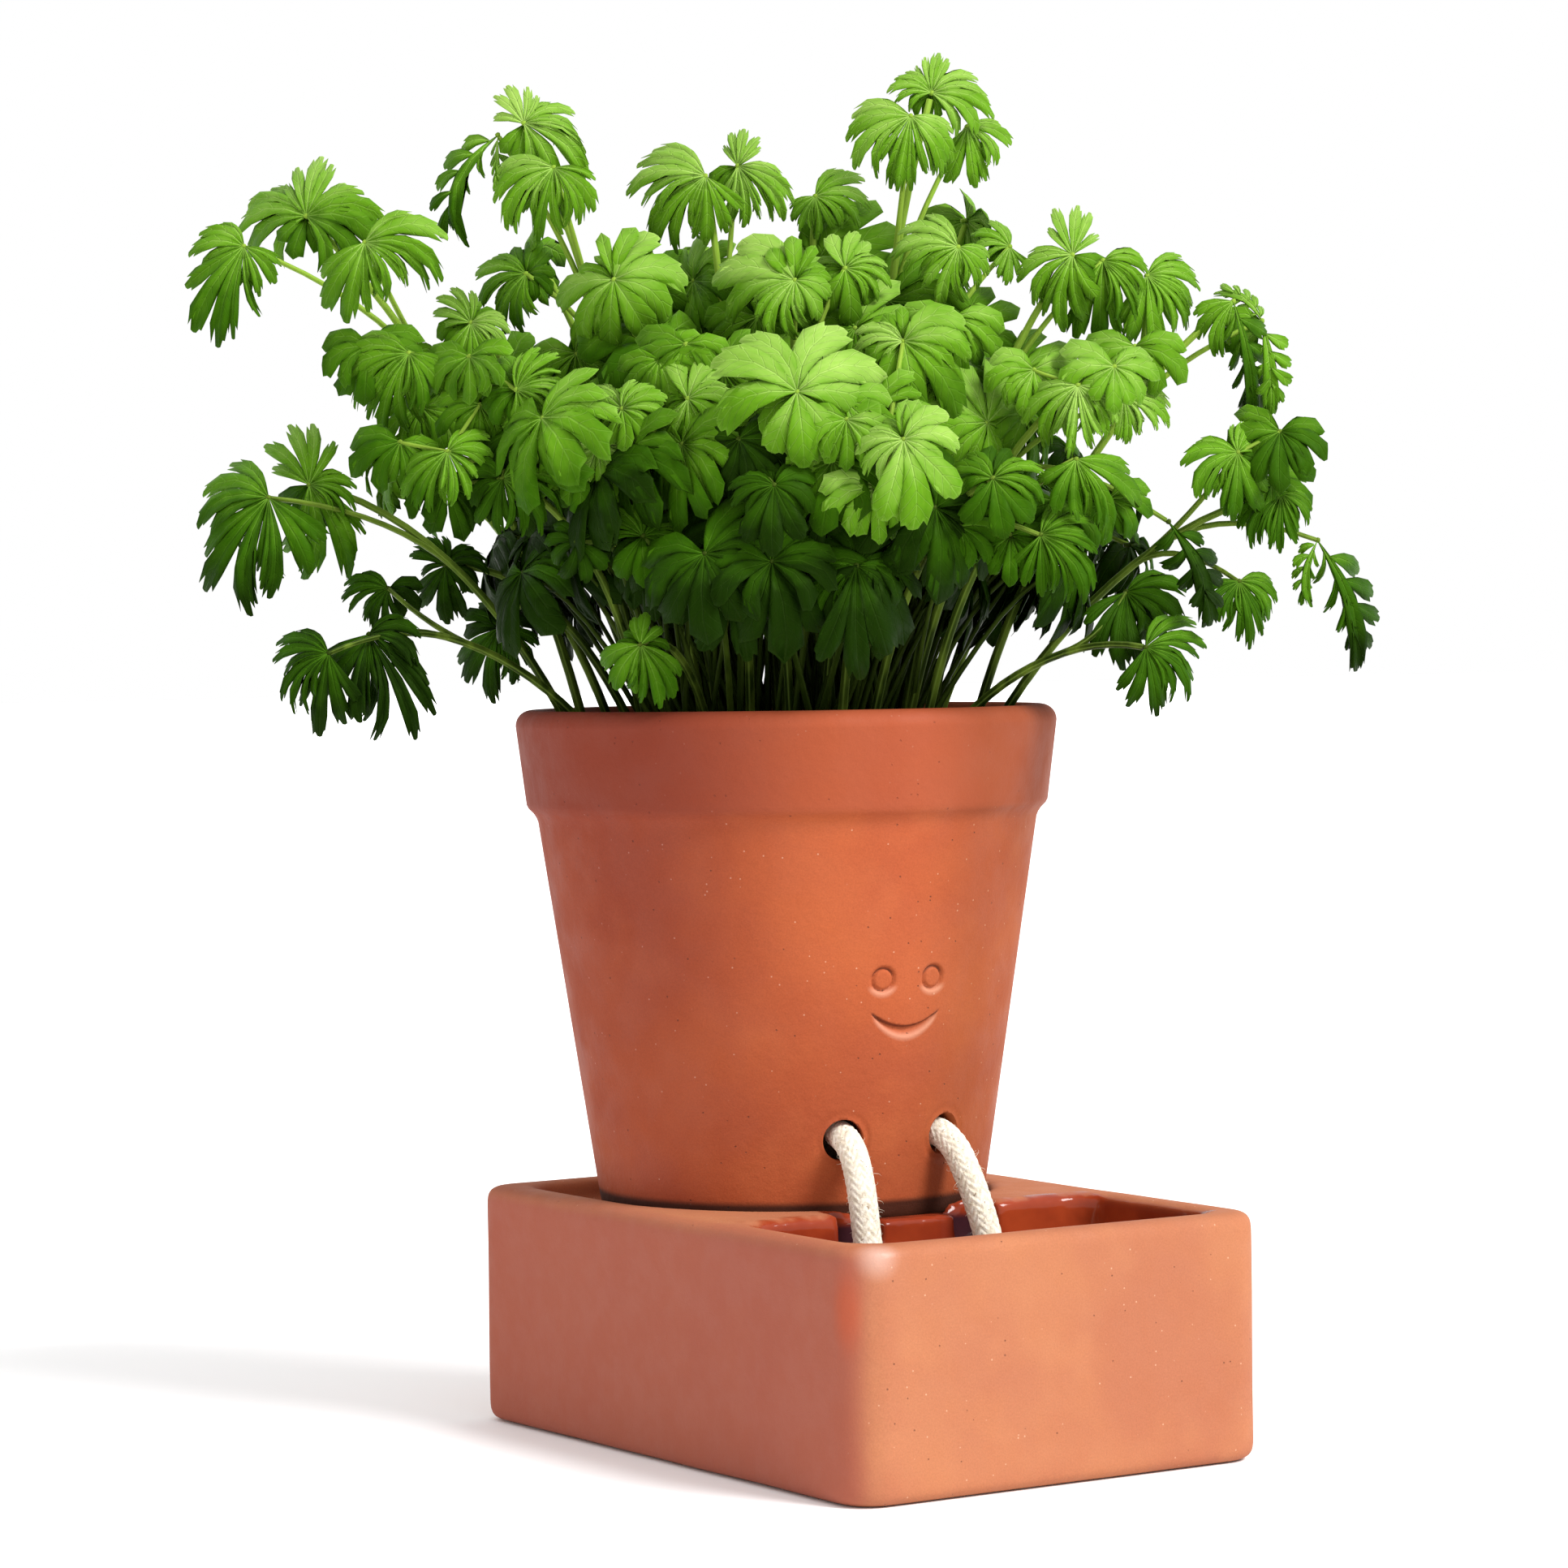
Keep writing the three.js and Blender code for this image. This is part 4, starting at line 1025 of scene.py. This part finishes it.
def lobe_plan(seed, fine, toothed):
    """A lobe's spokes and their reach, with teeth of its own."""
    spokes = fine_spokes if fine else plain_spokes
    reach = np.interp(np.abs(spokes), fan_spokes, fan_reach)
    for side in (-1, 1):
        depth = toothed * (0.02 + 0.12 * draw(seed, 31 + side))
        reach = reach * (1 - depth * np.clip(1 - np.abs(spokes - side * tooth_meets) / 0.13, 0, 1))
        reach = reach * (1 + 0.10 * (draw(seed, 35 + side) - 0.5) * (spokes * side > tooth_meets))
    return spokes, reach


class Growth:
    """The points and faces of one stalk's leaves and stems, gathered as they are made."""

    def __init__(self):
        self.places, self.faces, self.kinds = [], [], []
        self.veins, self.tones, self.count = [], [], 0

    def grow(self, places, faces, kind, veins, tones):
        self.faces += shifted(faces, self.count)
        self.kinds += [kind] * len(faces)
        self.places.append(places)
        self.veins.append(veins)
        self.tones.append(tones)
        self.count += len(places)

    def stem(self, line, form, tone):
        thick, thin, sides, steps = form
        t = np.linspace(0, stem_share_shown, steps + 1)
        ribs = np.cos(stem_ribs * 2 * math.pi * np.arange(sides) / sides)
        taper = (thick + (thin - thick) * t ** 0.8)[:, None]
        places, faces = rod(bend(line, t), taper * (1 + stem_rib_height * ribs), sides)
        veins = np.zeros((len(places), 3))
        veins[:-2, 0] = np.tile(ribs, steps + 1)
        self.grow(places, faces, 1, veins, np.full(len(places), tone))


def leaf_axes(at, facing, seed, loose):
    """A leaf's right, its front, and the way its face looks: forward, up and away from the plant."""
    right, toward = facing_axes(facing)
    outward = np.array([at[0], at[1], 0]) / max(math.hypot(at[0], at[1]), 1e-6)
    normal = toward + UP * (leaf_lift + 0.3 * loose * (draw(seed, 1) - 0.5)) + outward * leaf_spread
    return right, toward, unit(normal + right * 0.5 * loose * (draw(seed, 2) - 0.5))


def gaps_after(directions):
    """How many degrees it is from each direction to the next one round."""
    return [after - before for before, after in zip(directions, directions[1:] + [directions[0] + 360])]


def add_leaf(growth, at, facing, leaflets, seed, tone, fine=True, setback=0.0, loose=1.0):
    """A compound leaf on its hub. Leaflets that are close together are narrower on that side."""
    right, toward, normal = leaf_axes(at, facing, seed, loose)
    # Painted shade: the hub's stem is a little darker than its leaf.
    growth.stem((at - 1.5 * toward, at - 0.5 * toward, at + 0.2 * normal), hub_stem, tone - 0.1)
    if not leaflets:
        return
    listed = sorted((((direction + 360) % 360, length, *width) for direction, length, *width in leaflets))
    gaps = gaps_after([leaflet[0] for leaflet in listed])
    rings = fine_rings if fine else plain_rings
    outer = fine and (abs(at.dot(plant_right)) > cut_leaves_across or at[2] > cut_leaves_height)
    for i, (direction, length, *width) in enumerate(listed):
        own = seed * 7 + i
        feather = bool(width) and width[0] <= widest_feather
        broad = 1 if feather else (width[0] if width else 1) * (0.78 + 0.2 * draw(own, 47))
        narrow = [min(broad, (gap / 2 + 4) / 60) for gap in (gaps[i - 1], gaps[i])]
        whole = not outer if draw(own, 52) < 0.75 else not fine
        lobes = feather_lobes if feather else broad_lobes if whole else cut_lobes
        lean = 0.6 * (draw(own, 48) - 0.5)
        sag = leaf_sag * (1.6 if feather else 1) * math.cos(math.radians(direction))

        def heading(share):
            return math.radians(direction) + sag * (0.35 - share ** 2)

        for number, (offset, half_fan, size, start) in enumerate(lobes):
            part = own * 9 + number
            side = int(np.sign(offset))
            squeeze = narrow[0] if side < 0 else narrow[1] if side else (narrow[0] + narrow[1]) / 2
            fan = math.radians(squeeze * half_fan * (0.9 + 0.2 * draw(part, 41)))
            lobe_length = length * size * (1 if side == 0 else 0.92 + 0.14 * draw(part, 42))
            spokes, reach = lobe_plan(part, fine, broad_teeth if lobes is broad_lobes else 1.1)
            out = hub_radius + rings[:, None] * (reach * lobe_length - hub_radius)
            share = out / lobe_length
            along = start + (1 - start) * share
            sway = math.radians(12) * (draw(part, 43) - 0.5) * share ** 2
            turn = math.radians(offset * squeeze + 5 * (draw(part, 40) - 0.5))
            turn = heading(along) + turn + spokes * fan + sway
            base = start * length
            x = base * math.cos(heading(start)) + out * np.cos(turn)
            y = base * math.sin(heading(start)) + out * np.sin(turn)
            far = np.hypot(x, y)
            across = out * np.sin(spokes * fan)
            from_rib = -x * math.sin(heading(0.5)) + y * math.cos(heading(0.5))
            arch = 1.6 * leaf_crease * far * (1 - along ** 2) - 0.24 * length * along ** 3 * draw(part, 44)
            cup = 0.16 * np.abs(across) - 0.06 * across ** 2 * (0.4 + draw(part, 45))
            cup = cup - 0.016 * from_rib ** 2 + side * 0.2 * across * (draw(part, 46) + 0.2)
            ruffle = 0.022 * length * rings[:, None] ** 2 * np.sin(spokes * 5 + 6 * draw(part, 47))
            forward = -(normal.dot(right) * x + normal[2] * y) / normal.dot(toward)
            forward = forward - leaf_droop * far ** 2 + arch + cup + ruffle + far * lean
            forward = forward - setback - (side_setback if side else 0) * share
            centre = at + x[..., None] * right + y[..., None] * UP + forward[..., None] * toward
            half = (leaf_thickness / 2 * (1 - 0.55 * rings))[:, None, None] * normal
            places = np.concatenate([(centre + half).reshape(-1, 3), (centre - half).reshape(-1, 3)])
            marks = np.stack([across, np.broadcast_to(rings[:, None], out.shape), far], axis=2)
            marks = np.tile(marks.reshape(-1, 3), (2, 1))
            lobe_tone = tone + 0.16 * (draw(own, 49) - 0.5) + 0.07 * (draw(part, 50) - 0.5)
            # Painted light and shade: leaflets set back behind the others are darker and the rest lighter,
            # parts that point up are lighter, drooping tips are darker, and each lobe darkens towards its
            # sides.
            lobe_tone += 0.09 if setback == 0 else -0.10
            tones = (lobe_tone + 0.009 * y - 0.010 * far * (y < 0) - 0.13 * np.abs(spokes) ** 3).ravel()
            tones = np.concatenate([tones, tones + back_paleness])
            growth.grow(places, leaf_grids[fine], 0, marks, tones)


leaf_grids = {
    True: grid_faces(len(fine_spokes), len(fine_rings)),
    False: grid_faces(len(plain_spokes), len(plain_rings)),
}


def gap_leaflets(leaflets, seed):
    """Smaller leaflets in the wide gaps of a leaf, behind the others."""
    directions = sorted((leaflet[0] + 360) % 360 for leaflet in leaflets)
    mean = sum(leaflet[1] for leaflet in leaflets) / len(leaflets)
    more = []
    for i, (direction, gap) in enumerate(zip(directions, gaps_after(directions))):
        shares = 1 if gap < 96 else 2 if gap < 190 else 3
        for k in range(1, shares):
            more.append((direction + gap * k / shares + 24 * (draw(seed + i, k + 60) - 0.5),
                         mean * (0.48 + 0.36 * draw(seed + i, k + 63))))
    return more


def tone_at(at, seed):
    """How light a leaf is, from 0, deep green low in the plant, to 1, yellow green at the top: partly its own
    green and partly painted shade low down and painted light towards the front and, low down, to the right.
    """
    tone = np.interp(at[2], [165, 200, 210, 217, 262, 300], [0.24, 0.22, 0.28, 0.66, 0.66, 0.72])
    tone += (0.04 if at[2] < 235 else -0.02) * np.clip(at.dot(plant_right) / 60, -1, 1)
    tone += 0.08 * np.clip((at.dot(plant_front) - 40) / 30, -1, 1)
    return float(tone + 0.14 * (draw(seed, 71) - 0.5))


leaf_green, shader, place = start_finish("parsley_leaf", 0.5, 0.07)
shader.inputs["Specular Tint"].default_value = (0.45, 0.85, 0.12, 1)
across, ring, reach = parts(mark(place, "vein", 1))
off_rib = abs(across)
clouds = grain(place, 130, 3.0)
tone = mark(place, "tone") + (clouds - 0.5) * 0.34
greens = add("ValToRGB", {"Fac": tone})
stops = [
    (0.0, (0.006, 0.018, 0.001)), (0.3, (0.028, 0.086, 0.002)), (0.6, (0.100, 0.235, 0.010)),
    (1.0, (0.290, 0.450, 0.090)),
]
elements = greens.socket.node.color_ramp.elements
for position, shade in stops[1:-1]:
    elements.new(position)
for element, (position, shade) in zip(elements, stops):
    element.position = position
    element.color = (*shade, 1)
rib = ramp(off_rib, 0.25, 0.05) * ramp(ring, 0.0, 1.0, 1.0, 0.4)
streaks = grain(add("CombineXYZ", {"X": across * 1.6, "Y": reach * 0.30}), 1.0, 3.0, 0.6)
side_veins = ramp(calc("SINE", reach * 2.3 + off_rib * -3.0 + clouds * 3.0), 0.88, 1.0) * 0.42
side_veins = side_veins * ramp(tone, 0.2, 0.6, 0.4, 1.0)
colour = mingle(ramp(streaks, 0.35, 0.7, 0.0, 0.30), greens, (0.235, 0.390, 0.080), "SOFT_LIGHT")
pale_rib = mingle(1.0, colour, (1.6, 1.45, 1.8), "MULTIPLY")
pale_rib = mingle(ramp(tone, 0.2, 0.8, 0.01, 0.22), pale_rib, (0.42, 0.60, 0.20))
colour = mingle(calc("MAXIMUM", rib * 0.80, side_veins), colour, pale_rib)
# Painted highlight: the edge of each lobe is paler.
colour = mingle(ramp(ring, 0.95, 1.0, 0.0, 0.35), colour, pale_rib)
dress(shader, colour, streaks * 0.5 - rib * 0.8 - side_veins * 1.2, 0.00025,
      roughness=ramp(streaks, 0.3, 0.7, 0.42, 0.60))

stem_green, shader, place = start_finish("parsley_stem", 0.5, 0.10)
shader.inputs["Specular Tint"].default_value = (0.6, 0.85, 0.2, 1)
ridge = parts(mark(place, "vein", 1))[0]
streaks = grain(place, 220, 2.0, 0.5, (1, 1, 0.15))
# Partly their own deeper green and partly painted shade: stems are darker low down and where their tone is
# low, as for the young and bare stems among the leaves.
colour = mingle(ramp(in_mm(place)[2], 168, 240), (0.012, 0.024, 0.002), (0.210, 0.345, 0.035))
colour = mingle(ramp(streaks, 0.4, 0.7, 0.0, 0.4), colour, (0.20, 0.30, 0.03))
colour = mingle(ramp(ridge, -0.2, 0.9, 0.0, 0.24), colour, (0.34, 0.50, 0.09))
colour = mingle(ramp(mark(place, "tone"), 0.0, 0.5, 0.86, 0.0), colour, (0.016, 0.030, 0.003))
dress(shader, colour, grain(place, 900, 2.0, 0.5, (1, 1, 0.1)), 0.0002)

box_low, box_high = (np.array(corner) / MM for corner in cad_box)
box_gap = 0.05
young_looseness = 2.4
# Far out or high up, a gap's leaflets only hang down. Small companions grow at middle height.
hang_reach, hang_height = 74, 256
companion_reach, companion_low, companion_high = 102, 200, 246


def add_companion(growth, at, facing, seed, shade):
    """A small leaf on a short shoot beside a big one, a little behind it."""
    right, toward = facing_axes(facing)
    turn = 2 * math.pi * draw(seed, 81)
    beside = at + (right * math.cos(turn) + UP * math.sin(turn)) * (9 + 4 * draw(seed, 82))
    beside = beside - toward * (4 + 4 * draw(seed, 83))
    growth.stem((at - toward, (at + beside) / 2 - 3 * toward, beside), shoot_stem, shade)
    leaflets = [
        (-90 + n * 74 + 40 * (draw(seed, 84 + n) - 0.5), 10 + 4 * draw(seed, 88 + n)) for n in (-1, 0, 1)
    ]
    # Painted shade: the small leaf is darker than the big one it stands behind.
    add_leaf(growth, beside, facing, leaflets, seed + 900, shade - 0.12, False, loose=young_looseness)


def heart_near(at):
    return min(hearts, key=lambda name: np.linalg.norm(hearts[name] - at))


# Young stalks without a name fill the plant's heart. Each goes with the inner stalk nearest to it.
young_count = 110
stalks = list_stalks()
hearts = {name: clusters[0][0] for name, _, clusters in stalks if name.startswith("inner")}
young, bare = {name: [] for name in hearts}, {name: [] for name in hearts}
for i in range(young_count):
    seed = 300 + i
    facing = (i * golden_turn) % 360
    out = 8 + 58 * math.sqrt((i + 0.5) / young_count) * (0.85 + 0.25 * draw(seed, 1))
    at = facing_axes(facing)[1] * out
    lowest = 188 if at.dot(plant_front) < 25 else 190 + 0.8 * max(abs(at.dot(plant_right)) - 18, 0)
    at = at + UP * max(250 - 38 * (out / 60) ** 2 - 56 * draw(seed, 2) ** 1.3, lowest + 10 * draw(seed, 15))
    young[heart_near(at)].append((at, facing, seed))
# A few stand high between the big leaves: how far across, how high and how far to the front.
high_places = [
    (-45, 238, 10), (-19, 254, 4), (24, 249, 4), (-33, 249, -6), (8, 258, -4), (-5, 245, 18), (40, 240, 8),
    (-60, 234, 0), (-26, 240, 22), (16, 242, 22), (52, 232, 12),
]
for seed, place in enumerate(high_places, 700):
    at = spot_at(*place)
    young[heart_near(at)].append((at, 60 * (draw(seed, 1) - 0.5), seed))
# Bare stalks have lost their leaf, or end out of sight among the others.
bare_count = 140
for i in range(bare_count):
    seed = 500 + i
    at = facing_axes((i * golden_turn) % 360)[1] * (30 + 32 * draw(seed, 1)) + UP * (194 + 20 * draw(seed, 2))
    bare[heart_near(at)].append((at, seed))

for name, seed, clusters in stalks:
    growth = Growth()
    line = stalk_line(clusters[0][0], seed)
    tone = tone_at(clusters[0][0], seed)
    growth.stem(line, stalk_stem, tone + 0.2)
    for k, (at, facing, leaflets, *lightness) in enumerate(clusters):
        if k > 0:
            fork = bend(line, 0.62 + 0.1 * draw(seed, k))
            heading = unit(bend(line, 0.71) - bend(line, 0.69))
            aim = fork + heading * 0.45 * np.linalg.norm(fork - at)
            growth.stem((fork, aim, at), branch_stem, tone + 0.2)
        leaf_seed = seed * 5 + k
        shade = lightness[0] if lightness else tone_at(at, leaf_seed)
        add_leaf(growth, at, facing, leaflets, leaf_seed, shade, not name.startswith("back"))
        more = gap_leaflets(leaflets, leaf_seed)
        reach = math.hypot(at[0], at[1])
        if reach > hang_reach or at[2] > hang_height:
            more = [leaflet for leaflet in more if math.sin(math.radians(leaflet[0])) < -0.3]
        add_leaf(growth, at, facing, more, leaf_seed + 400, shade, False, 1.8)
        if reach < companion_reach and companion_low < at[2] < companion_high and name != "left_arm":
            for number in (1, 2):
                add_companion(growth, at, facing, leaf_seed * 3 + number, shade)
    for at, facing, leaf_seed in young.get(name, []):
        growth.stem(young_line(at, leaf_seed), young_stem, 0.18 * draw(leaf_seed, 17) ** 2)
        leaflets = [
            (-90 + n * 72 + 34 * (draw(leaf_seed, 3 + n) - 0.5), 16 + 6 * draw(leaf_seed, 8 + n) - 2 * abs(n))
            for n in (-1, 0, 1, 2)
        ]
        # Painted shade: the young leaves in the plant's heart are darker.
        shade = tone_at(at, leaf_seed) - 0.16
        add_leaf(growth, at, facing, leaflets, leaf_seed, shade, False, loose=young_looseness)
    for at, leaf_seed in bare.get(name, []):
        growth.stem(young_line(at, leaf_seed), bare_stem, 0.15 * draw(leaf_seed, 17) ** 2)
    places = np.clip(np.vstack(growth.places), box_low + box_gap, box_high - box_gap)
    marks = {"vein": np.vstack(growth.veins), "tone": np.concatenate(growth.tones)}
    finishes = [leaf_green, stem_green]
    leaves = make_piece(f"parsley_{name}_leaves", places, growth.faces, finishes, growth.kinds, marks)
    join_body(leaves, f"parsley_{name}")
